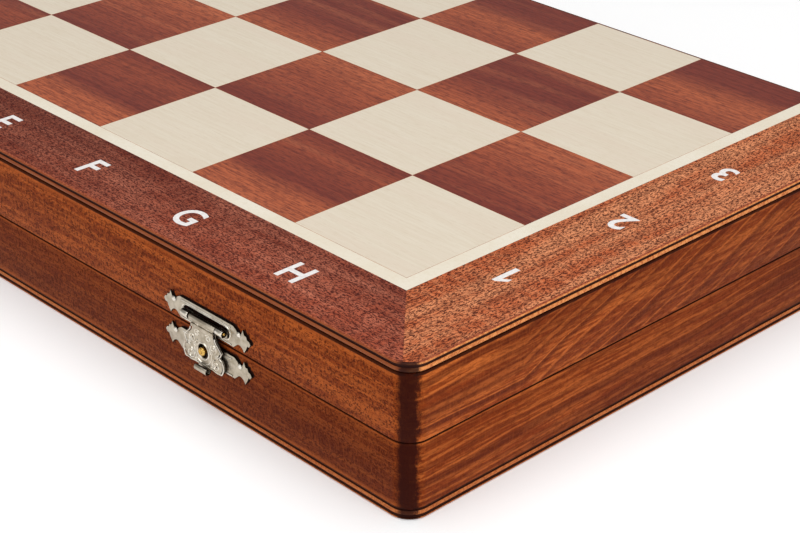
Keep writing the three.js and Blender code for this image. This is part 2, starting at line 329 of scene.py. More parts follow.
def soften(bm, edges, width, segments=2):
    bmesh.ops.bevel(bm, geom=list(edges), offset=width, offset_type="OFFSET", segments=segments,
                    profile=0.5, affect="EDGES", material=-1, clamp_overlap=True)


def sharpEdges(bm, allowed, angle=30):
    # folds of the mesh whose two ends are both allowed
    limit = math.radians(angle)
    return [e for e in bm.edges if len(e.link_faces) == 2 and e.calc_face_angle(0) > limit
            and all(allowed(v.co) for v in e.verts)]


def upright(bm, upsideDown):
    # the lower half is the upper one mirrored through the parting plane
    if upsideDown:
        moved(bm, Matrix.Translation((0, 0, 2 * parting)) @ Matrix.Scale(-1, 4, (0, 0, 1)))
    bmesh.ops.recalc_face_normals(bm, faces=bm.faces)


def along(place, axis, share):
    # squeezes one axis, so that a pattern is drawn out along it
    return place.stretched(tuple(share if name == axis else 1 for name in "XYZ"))


def grainOf(place, axis):
    # fine streaks, broad tone and open pores of a board whose grain runs along one axis
    streaks = along(place, axis, 0.045).noise(820, 5, 0.68, 0.3)
    broad = along(place, axis, 0.07).noise(95, 3, 0.55, 0.8)
    pores = along(place, axis, 0.14).noise(1900, 2, 0.55)
    return streaks, broad, pores


def darkVeneer():
    # each rank's strip of mahogany has its own light and dark bands
    material, place = startMaterial("mahoganySquares")
    streaks, broad, pores = grainOf(place, "X")
    across = (place.part("Y") - fieldFront) / (board["ranks"] * board["square"])
    across = across + (broad - 0.5) * 0.07
    light, middle, dark = paint(184, 95, 58), paint(156, 73, 46), paint(124, 50, 36)
    bands = across.ramp([
        (0.0, light), (0.06, light), (0.095, dark), (0.2, middle), (0.245, dark),
        (0.25, dark), (0.36, middle), (0.49, light), (0.5, light), (0.56, middle),
        (0.62, dark), (0.74, dark), (0.755, middle), (0.84, light), (0.9, dark), (1.0, dark),
    ])
    lines = streaks.clamped(0.42, 0.62)
    marks = pores.clamped(0.5, 0.6)
    tone = bands.laid(paint(94, 36, 30), lines, 0.5)
    tone = tone.laid(paint(184, 104, 70), broad.clamped(0.5, 0.7), 0.35)
    tone = tone.laid(paint(84, 30, 26), marks, 0.55)
    return finishMaterial(material, tone, 0.36 + lines * 0.08, streaks * 0.3 - marks,
                          coat=0.05, strength=0.25, depth=0.05, specular=0.3)


def lightVeneer():
    # pale maple with very faint streaks
    material, place = startMaterial("mapleSquares")
    streaks, broad, pores = grainOf(place, "X")
    tone = streaks.clamped(0.35, 0.65).mixed(paint(229, 217, 197), paint(223, 209, 187))
    tone = tone.laid(paint(226, 210, 190), broad.clamped(0.4, 0.7), 0.6)
    tone = tone.laid(paint(190, 166, 134), pores.clamped(0.56, 0.66), 0.14)
    return finishMaterial(material, tone, 0.38 + streaks * 0.06, streaks, coat=0.12,
                          strength=0.08, depth=0.04)


def borderVeneer(name, axis, deep, middle, pale):
    # open-pored mahogany: short dark dashes, close together, that ripple along the strip
    material, place = startMaterial(name)
    streaks, broad, pores = grainOf(place, axis)
    dashes = along(place, axis, 0.42).noise(2000, 3, 0.7, 0.7)
    ripple = along(place, "Y" if axis == "X" else "X", 0.3).noise(300, 2, 0.5, 0.6)
    marks = dashes.clamped(0.47, 0.55)
    tone = (broad.clamped(0.4, 0.62) * 0.55).mixed(middle, pale)
    tone = tone.laid(pale, ripple.clamped(0.42, 0.62), 0.25)
    tone = tone.laid(deep, streaks.clamped(0.45, 0.62), 0.4)
    tone = tone.laid(deep, marks, 0.9)
    if axis == "X":     # this strip is darker toward the stringing and the middle of the board
        inward = place.part("Y").clamped(frontFace + 10 * mm, lineFront - 3 * mm)
        tone = tone.laid(deep, inward, 0.3)
        tone = tone.laid(deep, 1 - place.part("X").clamped(0.0, 0.2), 0.45)
    return finishMaterial(material, tone, 0.4 + marks * 0.12, streaks * 0.25 - marks,
                          strength=0.35, depth=0.08, specular=0.12)


def stringingWood():
    material, place = startMaterial("mapleStringing")
    streaks = place.noise(700, 3, 0.6)
    broad = place.noise(40, 2, 0.5)
    tone = broad.clamped(0.35, 0.65).mixed(paint(238, 229, 211), paint(233, 222, 201))
    tone = tone.laid(paint(222, 206, 180), streaks.clamped(0.45, 0.65), 0.25)
    return finishMaterial(material, tone, 0.36 + streaks * 0.05, streaks, coat=0.05,
                          strength=0.06, depth=0.04)


def jointLine():
    material, place = startMaterial("veneerJoint")
    spots = place.noise(160, 3, 0.6)
    tone = spots.clamped(0.42, 0.62).mixed(paint(190, 128, 84), paint(150, 84, 50))
    return finishMaterial(material, tone, 0.5 + spots * 0.1)


def foldEdgeWood():
    material, place = startMaterial("foldEdge")
    streaks = grainOf(place, "X")[0]
    tone = streaks.clamped(0.4, 0.6).mixed(paint(64, 24, 14), paint(104, 48, 28))
    return finishMaterial(material, tone, 0.45 + streaks * 0.1, streaks, strength=0.2, depth=0.05,
                          specular=0.3)


# where the stain, the painted shade and the painted highlights of the walls change: each pair is
# where a mask starts and where it is full
stainShadeAndHighlight = {
    "skin": (1.2 * mm, 1.6 * mm),            # depth in from the outer faces
    "cornerEnd": (5.8 * mm, 3.8 * mm),       # the rounded corner, in from the end
    "cornerFront": (3.4 * mm, 5.6 * mm),     # and in from the front
    "cornerWobble": 5 * mm,
    "rim": (0.26 * mm, 0.42 * mm),           # painted shadow in the parting gap: a dark edge, off the parting plane
    # a painted highlight just below the parting plane, on the long walls
    "lowerRim": (1.1 * mm, 0.8 * mm, 0.5 * mm, 0.35 * mm),
    "groove": (4.0 * mm, 3.7 * mm),          # painted shade in the groove under the moulding, in from the playing face
    "lightened": (5.4 * mm, 4.4 * mm),
    "halves": mm,                            # softness between the upper and the lower board
    "ringSpacing": 5.2 * mm,
    "ringBend": 20 * mm,
    "ringStart": 70 * mm,                    # the rings climb from this far in front of the middle
    "corner": paint(46, 10, 4),
    "rimShadowColour": paint(36, 12, 6),
    "grooveShadeColour": paint(40, 13, 7),
    # for each wall the share of every layer, from the first laid to the last
    "longWall": {"name": "stainedLongWall", "axis": "X", "light": paint(176, 88, 34),
                 "middle": paint(130, 54, 13), "dark": paint(74, 22, 3), "fleck": (0.65, 1750),
                 "bands": 0.15, "lines": 0.1, "shade": 0.08, "late": 0.12, "broad": 0.24,
                 "marks": 0.86, "rays": 0.35, "lower": 0.5, "rearward": 0, "lightened": 0.5,
                 "below": 0.4, "rimShare": 0.75},
    "shortWall": {"name": "stainedShortWall", "axis": "Y", "light": paint(192, 100, 42),
                  "middle": paint(138, 57, 15), "dark": paint(78, 24, 5), "fleck": (0.3, 1050),
                  "bands": 0.55, "lines": 0.25, "shade": 0.35, "late": 0.8, "broad": 0.4,
                  "marks": 0.4, "rays": 0.1, "lower": 0.15, "rearward": 0.3, "lightened": 0.5,
                  "below": 0, "rimShare": 0.9},
}


def fromEnd(place, start, full):
    return place.part("X").magnitude().clamped(halfLength - start, halfLength - full)


def cornerStain(place):
    # end grain at the two rounded front corners soaks up stain
    wobble = (along(place, "Z", 0.6).noise(700, 4, 0.75) - 0.5) * stainShadeAndHighlight["cornerWobble"]
    start, full = stainShadeAndHighlight["cornerEnd"]
    sideways = place.part("X").magnitude() + wobble * 0.5
    nearEnd = sideways.clamped(halfLength - start, halfLength - full)
    start, full = stainShadeAndHighlight["cornerFront"]
    return nearEnd * (1 - (place.part("Y") + wobble).clamped(frontFace + start, frontFace + full))


def growthRings(place):
    # lines of equal depth in the log; they climb across the upper board and run along the lower
    warp = along(place, "Y", 0.3).noise(24, 2, 0.5)
    upper = place.part("Z").clamped(parting - stainShadeAndHighlight["halves"], parting + stainShadeAndHighlight["halves"])
    rise = (place.part("Y") + stainShadeAndHighlight["ringStart"]).maths("MAXIMUM", 0.0)
    climb = rise * (upper * 0.32 + 0.04)
    depth = place.part("Z") + (warp - 0.5) * stainShadeAndHighlight["ringBend"] - climb
    flat = depth.add("CombineXYZ", None, {2: depth})
    phase = (depth / stainShadeAndHighlight["ringSpacing"] + flat.noise(120, 1, 0.5) * 1.6).maths("FRACT")
    late = phase.clamped(0.8, 0.88) * (1 - phase.clamped(0.93, 1.0))
    shade = phase.clamped(0.25, 0.8) * (1 - late)
    return flat.noise(330, 2, 0.5), flat.noise(900, 3, 0.7), late, shade


def outerFaces(place):
    # the skin of the walls: all of it, and that of the front alone
    shallow, deep = stainShadeAndHighlight["skin"]
    front = 1 - place.part("Y").clamped(frontFace + shallow, frontFace + deep)
    return fromEnd(place, deep, shallow).maths("MAXIMUM", front), front


def stainedWood(look):
    # reddish stain over open grain; the growth rings show on the short sides. Painted shade darkens
    # the parting gap and the groove under the moulding; on the long walls a painted highlight runs
    # just below the parting plane
    material, place = startMaterial(look["name"])
    streaks, broad, pores = grainOf(place, look["axis"])
    length, scale = look["fleck"]
    marks = along(place, look["axis"], length).noise(scale, 3, 0.7, 0.5).clamped(0.48, 0.58)
    rays = along(place, "Z", 0.3).noise(1400, 2, 0.6, 0.4)
    bands, lines, late, shade = growthRings(place)
    up = place.part("Z")
    offParting = (up - parting).magnitude()
    skin, front = outerFaces(place)
    # a lighter band on the front face just below the moulding
    lightened = offParting.clamped(*(parting - d for d in stainShadeAndHighlight["lightened"])) * front
    lower = 1 - up.clamped(parting - stainShadeAndHighlight["halves"], parting + stainShadeAndHighlight["halves"])
    tone = streaks.clamped(0.44, 0.6).mixed(look["middle"], look["light"])
    layers = [("bands", "dark", bands.clamped(0.45, 0.6)),
              ("lines", "light", lines.clamped(0.5, 0.6)),
              ("shade", "dark", shade), ("late", "light", late),
              ("broad", "dark", broad.clamped(0.47, 0.62)), ("marks", "dark", marks),
              ("rays", "light", rays.clamped(0.52, 0.62)), ("lower", "dark", lower)]
    if look["rearward"]:        # darker toward the hinges
        layers.append(("rearward", "dark", place.part("Y").clamped(-0.1, 0.06)))
    layers.append(("lightened", "light", lightened))
    if look["below"]:       # a painted highlight along the rim of the lower half
        outer, outerFull, inner, innerEnd = (parting - d for d in stainShadeAndHighlight["lowerRim"])
        rimHighlight = up.clamped(outer, outerFull) * (1 - up.clamped(inner, innerEnd))
        layers.append(("below", "light", rimHighlight))
    for share, colour, mask in layers:
        tone = tone.laid(look[colour], mask, look[share])
    # painted shadow in the parting gap, and below it painted shade in the groove under the
    # moulding, both on the outer faces
    rimShadow = (1 - offParting.clamped(*stainShadeAndHighlight["rim"])) * skin
    groove = offParting.clamped(*(parting - d for d in stainShadeAndHighlight["groove"])) * skin
    tone = tone.laid(stainShadeAndHighlight["corner"], cornerStain(place), 0.96)
    tone = tone.laid(stainShadeAndHighlight["rimShadowColour"], rimShadow, look["rimShare"])
    tone = tone.laid(stainShadeAndHighlight["grooveShadeColour"], groove, 0.9)
    return finishMaterial(material, tone, 0.42 + marks * 0.1, streaks * 0.6 - marks * 0.5,
                          strength=0.3, depth=0.06, specular=0.04)


def edgingWood():
    # the beaded edging: pale from lighter wood and from a painted highlight, dark in its grooves
    # from painted shade and stain that collects there, and dark at the corners
    material, place = startMaterial("beadedEdging")
    streaks = grainOf(place, "X")[0]
    flecks = place.noise(1600, 2, 0.6)
    groove, veneered = (place.add("Attribute", {"attribute_name": name}, None, 2)
                        for name in ("groove", "veneered"))
    frontal = 1 - place.part("Y").clamped(frontFace + 1.2 * mm, frontFace + 2.4 * mm)
    above = place.part("Z").clamped(parting - 2 * mm, parting + 2 * mm)
    underBead = flecks.clamped(0.4, 0.6).mixed(paint(190, 104, 52), paint(138, 64, 28))
    topFace = flecks.clamped(0.42, 0.58).mixed(paint(172, 92, 62), paint(120, 52, 34))
    # the pale base tone is partly lighter wood and partly a painted highlight
    tone = streaks.clamped(0.4, 0.62).mixed(paint(226, 146, 84), paint(186, 104, 54))
    tone = tone.laid(paint(124, 56, 26), frontal * above, 0.85)
    tone = tone.laid(underBead, 1 - above, 0.7)
    tone = tone.laid(topFace, veneered)
    # painted shade in the grooves, with stain that collects on the top and bottom of the bead
    tone = tone.laid(paint(44, 14, 8), groove.clamped(0.1, 0.5), 0.97)
    tone = tone.laid(paint(40, 9, 4), cornerStain(place), 0.94)
    return finishMaterial(material, tone, 0.4 + streaks * 0.1, streaks, strength=0.2, depth=0.04,
                          specular=0.09)


materials = {
    "dark": darkVeneer(),
    "light": lightVeneer(),
    "lengthBorder": borderVeneer("borderAlongFront", "X", paint(62, 11, 10), paint(166, 80, 54),
                                 paint(222, 136, 106)),
    "sideBorder": borderVeneer("borderAlongSide", "Y", paint(64, 13, 5), paint(204, 106, 62),
                               paint(250, 170, 120)),
    "stringing": stringingWood(),
    "joint": jointLine(),
    "fold": foldEdgeWood(),
    "edging": edgingWood(),
    "longWall": stainedWood(stainShadeAndHighlight["longWall"]),
    "shortWall": stainedWood(stainShadeAndHighlight["shortWall"]),
}
print("wood finishes ready")


def cutAlong(bm, faces, point, normal):
    # splits some faces of the sheet along a line, and leaves the others whole
    faces = list(faces)
    edges = {e for f in faces for e in f.edges}
    verts = {v for f in faces for v in f.verts}
    bmesh.ops.bisect_plane(bm, geom=[*faces, *edges, *verts], plane_co=point, plane_no=normal,
                           dist=1e-7)


def isBorder(face):
    centre = face.calc_center_median()
    return abs(centre.x) > lineHalf or centre.y < lineFront


def inField(centre):
    return (abs(centre.x) < fieldHalf - board["edgeTrim"]
            and centre.y > fieldFront + board["frontTrim"])


def panelFinish(face, lower):
    # which veneer a face of the sheet is
    centre = face.calc_center_median()
    if centre.y > backFace - board["foldStrip"]:
        return "fold"
    if isBorder(face):
        fromEnd = halfLength - abs(centre.x)
        return "lengthBorder" if centre.y - frontFace < fromEnd else "sideBorder"
    if not inField(centre):
        return "stringing"
    file = math.floor((centre.x + fieldHalf) / board["square"])
    rank = math.floor((centre.y - fieldFront) / board["square"])
    return "dark" if (file + rank) % 2 == (1 if lower else 0) else "light"


def makeFaceSheet(half):
    lower = half == "lower"
    lip, square, trim = board["lip"], board["square"], board["edgeTrim"]
    foldLine = backFace - board["foldStrip"]
    bm = bmesh.new()
    right, front = halfLength - lip, frontFace + lip
    corners = [(-right, front), (right, front), (right, backFace), (-right, backFace)]
    verts = [bm.verts.new((x, y, caseTop - board["print"])) for x, y in corners]
    bm.faces.new(verts)
    bmesh.ops.bevel(bm, geom=verts[:2], offset=cornerRadius - lip, offset_type="OFFSET",
                    segments=8, profile=0.5, affect="VERTICES", material=-1)

    def cutAcross(x, allowed=None):
        cutAlong(bm, filter(allowed, bm.faces), (x, 0, 0), (1, 0, 0))

    def cutLengthwise(y, allowed=None):
        cutAlong(bm, filter(allowed, bm.faces), (0, y, 0), (0, 1, 0))

    def isInside(face):
        return not isBorder(face)

    def isField(face):
        centre = face.calc_center_median()
        return inField(centre) and centre.y < foldLine

    for x in (-lineHalf, lineHalf):
        cutAcross(x)
    cutLengthwise(lineFront)
    cutLengthwise(foldLine)
    for x in (trim - fieldHalf, fieldHalf - trim):
        cutAcross(x, isInside)
    cutLengthwise(fieldFront + board["frontTrim"], isInside)
    for side in (-1, 1):
        cutAlong(bm, filter(isBorder, bm.faces), (side * lineHalf, lineFront, 0), (1, side, 0))
    for file in range(1, board["files"]):
        cutAcross(file * square - fieldHalf, isField)
    for rank in range(1, board["ranks"]):
        cutLengthwise(fieldFront + rank * square, isField)
    names = ["dark", "light", "lengthBorder", "sideBorder", "stringing", "joint", "fold"]
    for face in bm.faces:
        face.material_index = names.index(panelFinish(face, lower))
    whole = set(bm.faces)
    pale = [f for f in bm.faces if f.material_index == names.index("light")]
    bmesh.ops.inset_individual(bm, faces=pale, thickness=board["joint"], depth=0)
    for face in bm.faces:
        if face not in whole:
            face.material_index = names.index("joint")
    made = bmesh.ops.extrude_face_region(bm, geom=list(bm.faces))
    under = [g for g in made["geom"] if isinstance(g, bmesh.types.BMVert)]
    bmesh.ops.translate(bm, verts=under, vec=(0, 0, board["print"] - panelThickness))
    bm.normal_update()
    for face in bm.faces:
        if abs(face.normal.z) < 0.5 or face.calc_center_median().z < caseTop - panelThickness / 2:
            face.material_index = names.index("fold")
    upright(bm, lower)
    addPiece(f"{half}_playing_face", bm, [materials[n] for n in names], f"{half}_half",
             "playing_veneer", [f"{half}_panel"], smooth=None)


# the moulding, in mm in from the outer face and down from the top
edging = {
    "top": [(1.1, 0.0), (0.42, 0.0), (0.2, 0.05), (0.08, 0.16), (0.06, 0.42), (0.46, 0.5),
            (0.52, 0.66), (0.52, 1.08), (0.44, 1.24)],
    "beadCentre": (0.6, 2.06),
    "beadRadii": (0.58, 0.86),
    "foot": [(0.5, 2.9), (0.6, 3.0), (1.1, 3.0)],
    "cornerSteps": 10,
    "shaded": 0.25 * mm,         # deeper in than this is groove
    "shadedBelow": 0.2 * mm,
    "veneered": 0.4 * mm,        # the top face from here on
}


def edgingProfile():
    (inward, down), (wide, tall) = edging["beadCentre"], edging["beadRadii"]
    bead = []
    for turn in range(-60, 61, 20):
        angle = math.radians(turn)
        bead.append((inward - wide * math.cos(angle), down + tall * math.sin(angle)))
    return [(s * mm, d * mm) for s, d in [*edging["top"], *bead, *edging["foot"]]]


def makeEdging(half):
    bm = bmesh.new()
    start = [bm.verts.new((halfLength - s, backFace, caseTop - d)) for s, d in edgingProfile()]
    loop = [bm.edges.new((a, b)) for a, b in zip(start, start[1:] + start[:1])]
    bm.faces.new(start)

    def extrudeBy(edges, x, y):
        made = bmesh.ops.extrude_edge_only(bm, edges=edges)["geom"]
        verts = [g for g in made if isinstance(g, bmesh.types.BMVert)]
        bmesh.ops.translate(bm, verts=verts, vec=(x, y, 0))
        return [g for g in made if isinstance(g, bmesh.types.BMEdge)]

    def turnAbout(edges, x, y):
        verts = list({v for e in edges for v in e.verts})
        made = bmesh.ops.spin(bm, geom=[*edges, *verts], cent=(x, y, 0), axis=(0, 0, 1),
                              angle=math.radians(-90), steps=edging["cornerSteps"],
                              use_merge=False, dvec=(0, 0, 0))
        return [g for g in made["geom_last"] if isinstance(g, bmesh.types.BMEdge)]

    turn = cornerRadius
    forward = frontFace + turn - backFace
    loop = extrudeBy(loop, 0, forward)
    loop = turnAbout(loop, halfLength - turn, frontFace + turn)
    loop = extrudeBy(loop, 2 * (turn - halfLength), 0)
    loop = turnAbout(loop, turn - halfLength, frontFace + turn)
    loop = extrudeBy(loop, 0, -forward)
    bmesh.ops.contextual_create(bm, geom=loop)
    grooved = bm.verts.layers.float.new("groove")
    veneered = bm.verts.layers.float.new("veneered")
    for vert in bm.verts:
        inside = min(halfLength - abs(vert.co.x), vert.co.y - frontFace)
        cornerX = max(0.0, abs(vert.co.x) - halfLength + turn)
        cornerY = max(0.0, frontFace + turn - vert.co.y)
        if cornerX > 0 and cornerY > 0:
            inside = turn - math.hypot(cornerX, cornerY)
        down = caseTop - vert.co.z
        vert[grooved] = float(down > edging["shadedBelow"] and inside > edging["shaded"])
        vert[veneered] = float(down < 0.02 * mm and inside > edging["veneered"])
    upright(bm, half == "lower")
    addPiece(f"{half}_beaded_edging", bm, materials["edging"], f"{half}_half", "stained_wood",
             smooth=40)


printed = {
    "one": [(1.9, 0), (1.9, 10), (0.6, 10), (-2.4, 7.7), (-2.4, 5.9), (0, 7.6), (0, 0)],
    "capital": 0.729,            # height of a capital, as a share of the type size
    "letterTaller": 1.04,
    "narrow": ("ABCDGH", 0.92),
    "boldness": 0.26,
    "inset": {"1": 2.2 * mm},    # figures stand this far in from the middle of the border
    "usualInset": 3.2 * mm,
    "forward": 2.4 * mm,
    "letterForward": 0.6 * mm,
}


def extent(bm):
    return [Vector([pick(v.co[axis] for v in bm.verts) for axis in (0, 1, 2)])
            for pick in (min, max)]


def character(text):
    # a printed letter or figure, centred, in mm
    if text == "1":
        bm = flatPiece([printed["one"]], board["print"] / mm, 0.004)
    else:
        curve = bpy.data.curves.new("character", "FONT")
        curve.body = text
        taller = printed["letterTaller"] if text.isalpha() else 1.0
        narrow, width = printed["narrow"]
        curve.size = board["letterHeight"] * taller / mm / printed["capital"]
        curve.offset = printed["boldness"]
        curve.extrude = board["print"] / mm / 2
        curve.resolution_u = 6
        bm = moved(meshOf(curve), Matrix.Scale(width if text in narrow else 1.0, 4, (1, 0, 0)))
    low, high = extent(bm)
    return moved(bm, Matrix.Translation(-(low + high) / 2))


def makeCoordinates(half, material):
    # letters along the front border, ranks down both side borders
    lower = half == "lower"
    square = board["square"]
    sideMiddle = (halfLength + lineHalf) / 2
    frontMiddle = (frontFace + lineFront) / 2 - printed["letterForward"]
    marks = [(letter, (index + 0.5) * square - fieldHalf, frontMiddle, 0)
             for index, letter in enumerate("ABCDEFGH")]
    for index in range(board["ranks"]):
        digit = str(8 - index if lower else index + 1)
        y = fieldFront + (index + 0.5) * square - printed["forward"]
        x = sideMiddle - printed["inset"].get(digit, printed["usualInset"])
        marks += [(digit, x, y, math.pi), (digit, -x, y, 0)]
    height, flip = caseTop - board["print"] / 2, Matrix()
    if lower:
        height = board["print"] / 2
        flip = Matrix.Rotation(math.pi, 4, "X") @ Matrix.Rotation(math.pi, 4, "Z")
    pieces = []
    for text, x, y, turn in marks:
        place = Matrix.Translation((x, y, height)) @ flip @ Matrix.Rotation(turn, 4, "Z")
        pieces.append(moved(character(text), place @ Matrix.Scale(mm, 4)))
    addPiece(f"{half}_coordinates", gathered(pieces), material, f"{half}_half", "playing_veneer",
             smooth=None)


def printInk():
    material, place = startMaterial("printedWhite")
    wear = place.noise(900, 3, 0.65)
    tone = wear.clamped(0.3, 0.75).mixed(paint(244, 242, 240), paint(226, 218, 214))
    return finishMaterial(material, tone, 0.42 + wear * 0.1, wear, strength=0.1, depth=0.02)


ink = printInk()
for half in ("upper", "lower"):
    makeFaceSheet(half)
    makeEdging(half)
    makeCoordinates(half, ink)
print("playing panels made")


wall = {
    "rimRound": 0.2 * mm,        # edge at the parting plane
    "outerRound": 0.6 * mm,
    "mitreGap": 0.16 * mm,       # up to this far off the mitre plane a corner is pulled onto it
    "mitreReach": 12 * mm,
}


def closeMitres(bm):
    # the four walls meet at their mitres
    for x in (-halfLength, halfLength):
        for y in (frontFace, backFace):
            across = Vector((1, -math.copysign(1, x) * math.copysign(1, y), 0)).normalized()
            for vert in bm.verts:
                gap = (vert.co - Vector((x, y, vert.co.z))).dot(across)
                away = max(abs(vert.co.x - x), abs(vert.co.y - y))
                if away < wall["mitreReach"] and abs(gap) < wall["mitreGap"]:
                    vert.co -= across * gap


def makeWall(half, side):
    node = f"{half}_{side}_wall"
    bm = nodeCopy(node)
    low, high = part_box(node)
    rim, face = (high.z, low.z) if half == "lower" else (low.z, high.z)
    outer = {"front": lambda v: v.y < frontFace + cornerRadius,
             "back": lambda v: v.y > backFace - mm,
             "left": lambda v: v.x < -halfLength + cornerRadius,
             "right": lambda v: v.x > halfLength - cornerRadius}[side]
    for height, width in ((rim, wall["rimRound"]), (face, wall["outerRound"])):
        soften(bm, sharpEdges(bm, lambda v: abs(v.z - height) < 1e-5 and outer(v)), width)
    closeMitres(bm)
    finish = "longWall" if side in ("front", "back") else "shortWall"
    addPiece(node + "_board", bm, materials[finish], f"{half}_half", "stained_wood", [node])


for half in ("upper", "lower"):
    for side in ("front", "back", "left", "right"):
        makeWall(half, side)
print("walls made")


def stampedMetal(name, bright, shade, roughness):
    # plated sheet with fine scratches, tarnish in patches
    material, place = startMaterial(name)
    scratches = place.stretched((0.15, 1, 1)).noise(5200, 2, 0.6)
    patches = place.noise(420, 3, 0.6)
    grit = place.noise(3200, 2, 0.6)
    tone = patches.clamped(0.35, 0.75).mixed(bright, shade)
    tone = tone.laid(shade, grit.clamped(0.6, 0.75), 0.35)
    rough = roughness + patches * 0.14 + scratches * 0.08
    return finishMaterial(material, tone, rough, scratches * 0.5 + grit * 0.5, metallic=1.0,
                          strength=0.16, depth=0.05)


def flockLining():
    material, place = startMaterial("greenFlock")
    fibres = place.noise(5200, 3, 0.75)
    nap = place.noise(90, 3, 0.6, 0.8)
    tone = fibres.clamped(0.3, 0.7).mixed(paint(16, 62, 36), paint(34, 96, 58))
    tone = tone.laid(paint(46, 112, 72), nap.clamped(0.35, 0.7), 0.4)
    return finishMaterial(material, tone, 0.9 + fibres * 0.1, fibres, strength=0.6, depth=0.25,
                          sheen=0.12, specular=0.1)


def turnedWood(name, pale, middle, deep, gloss):
    # polished hardwood with its grain along the lying man, and fine turning rings
    material, place = startMaterial(name)
    streaks = place.stretched((1, 0.08, 1)).noise(1100, 4, 0.6, 0.5)
    figure = place.stretched((1, 0.14, 1)).noise(190, 3, 0.6, 1.2)
    pores = place.stretched((1, 0.2, 1)).noise(3600, 1, 0.5)
    tone = figure.clamped(0.3, 0.72).mixed(middle, pale)
    marks = pores.clamped(0.6, 0.72)
    tone = tone.laid(deep, streaks.clamped(0.4, 0.75), 0.5).laid(deep, marks, 0.35)
    return finishMaterial(material, tone, gloss + streaks * 0.08, streaks * 0.6 - marks,
                          coat=0.35, strength=0.12, depth=0.04)


materials.update({
    # one nickel in three copies: the plain plate, a brighter copy that is partly rubbed wear and
    # partly painted highlight, and a dark copy that is painted shade on edges
    "nickel": stampedMetal("plateNickel", paint(196, 186, 168), paint(166, 154, 134), 0.3),
    "lightened": stampedMetal("scuffedHighlightNickel", paint(236, 230, 218), paint(206, 196, 178), 0.2),
    "paintedShade": stampedMetal("edgeShadeNickel", paint(44, 37, 30), paint(20, 16, 13), 0.45),
    "brass": stampedMetal("polishedBrass", paint(240, 200, 112), paint(176, 126, 52), 0.18),
    "flock": flockLining(),
    "white": turnedWood("boxwoodPolish", paint(232, 196, 136), paint(214, 170, 104),
                        paint(170, 118, 62), 0.3),
    "black": turnedWood("rosewoodPolish", paint(112, 56, 38), paint(78, 34, 24),
                        paint(38, 15, 12), 0.28),
})
latchMetals = [materials[key] for key in ("nickel", "lightened", "paintedShade")]

# latches are drawn in mm about their centre line, the parting plane and the wall's face
latch = {
    "spacing": 302 * mm,
    "upperPlate": 4.9,           # middles of the two plates above the parting plane
    "lowerPlate": -5.8,
    "plate": 0.75,
    "slot": (10.9, 1.8),         # half its length, and the radius of its ends
    "slotRim": (11.35, 2.2),
    "beads": (11.6, 2.75, -3.0),     # half length of the two straight beads, and their heights
    "rollHeight": 4.9,
    "rollOff": 1.9,
    "rollRadius": 1.0,
    "rollHalf": 6.1,
    "lugRadius": 1.2,
    "lugEnd": 9.8,
    "bladeOff": 2.0,
    "blade": 0.85,
    "knobHeight": -4.6,
    "holeRadius": 2.35,
    "pinRadius": 0.5,
    "liftWidth": 5.6,
    "shadowReach": (0.65, 0.5),         # how far the painted shadow shows beside and above a plate
    "plateSide": [(12.5, 3.7, "corner"), (13.9, 2.9), (15.1, 1.6), (16.2, 2.3),
                  (17.1, 4.0, "corner"), (17.7, 2.5), (18.6, 2.3), (18.9, 1.4, "corner"),
                  (19.8, 1.1), (20.4, 0.2, "corner"), (19.8, -0.7), (18.9, -0.8, "corner"),
                  (18.5, -1.8), (17.4, -3.6, "corner"), (16.4, -2.3), (15.0, -1.8), (13.8, -2.5),
                  (12.5, -3.6, "corner")],
    "haspSide": [(5.0, 4.2, "corner"), (5.0, 2.0), (5.5, 0.4), (6.7, -0.9), (8.1, -2.3, "corner"),
                 (7.3, -3.5), (7.2, -4.5), (8.4, -5.2, "corner"), (8.8, -6.8), (8.3, -8.6),
                 (6.9, -9.9), (5.3, -9.9), (3.6, -9.3, "corner"), (2.9, -9.8, "corner")],
    "lift": [(2.0, -9.2), (2.05, -10.2), (2.35, -11.0), (3.0, -11.4), (3.75, -11.1), (4.0, -10.4),
             (3.6, -9.8), (2.95, -9.95)],
    "leaf": [(1.0, -8.9), (2.6, -8.0), (3.6, -6.6), (4.0, -5.0), (3.6, -3.2), (2.6, -1.6)],
    # scrolls: centre, outer and inner radius, start in degrees, turns, thickness of the bead
    "scrolls": [(5.9, -7.3, 1.9, 0.45, 100, 1.6, 0.24), (4.9, -1.9, 1.6, 0.4, -60, 1.4, 0.22),
                (2.6, 0.7, 1.3, 0.35, 150, -1.3, 0.2), (3.9, -3.6, 1.0, 0.3, 40, 1.3, 0.16),
                (2.5, 3.1, 1.0, 0.3, -120, 1.3, 0.16), (6.6, -3.9, 0.75, 0.25, 200, 1.2, 0.15),
                (3.9, -8.9, 0.7, 0.25, 60, 1.2, 0.15)],
    "knob": [(0, 0.4, "corner"), (2.1, 0.4, "corner"), (2.1, 0.9, "corner"), (1.2, 1.1),
             (0.95, 1.8), (1.1, 2.3), (1.38, 2.75), (1.3, 3.15), (0.95, 3.45), (0.6, 3.4),
             (0.35, 3.2, "corner"), (0, 3.15, "corner")],
    "nail": [(0, 0), (0.85, 0), (0.9, 0.12), (0.72, 0.36), (0.4, 0.5), (0, 0.55)],
    "nailPlace": (15.3, 1.75),
}


def mirroredOutline(side):
    other = [(-point[0], *point[1:]) for point in reversed(side)]
    return smoothLine(side + other, 4, closed=True)


def circle(radius, x=0.0, y=0.0, steps=32):
    turns = [2 * math.pi * step / steps for step in range(steps)]
    return [(x + radius * math.cos(turn), y + radius * math.sin(turn)) for turn in turns]


def capsule(reach, radius, y=0.0):
    # a slot with round ends
    ends = []
    for side in (1, -1):
        for step in range(9):
            turn = math.radians(-90 + 22.5 * step)
            ends.append((side * (reach - radius + radius * math.cos(turn)),
                         y + side * radius * math.sin(turn)))
    return ends


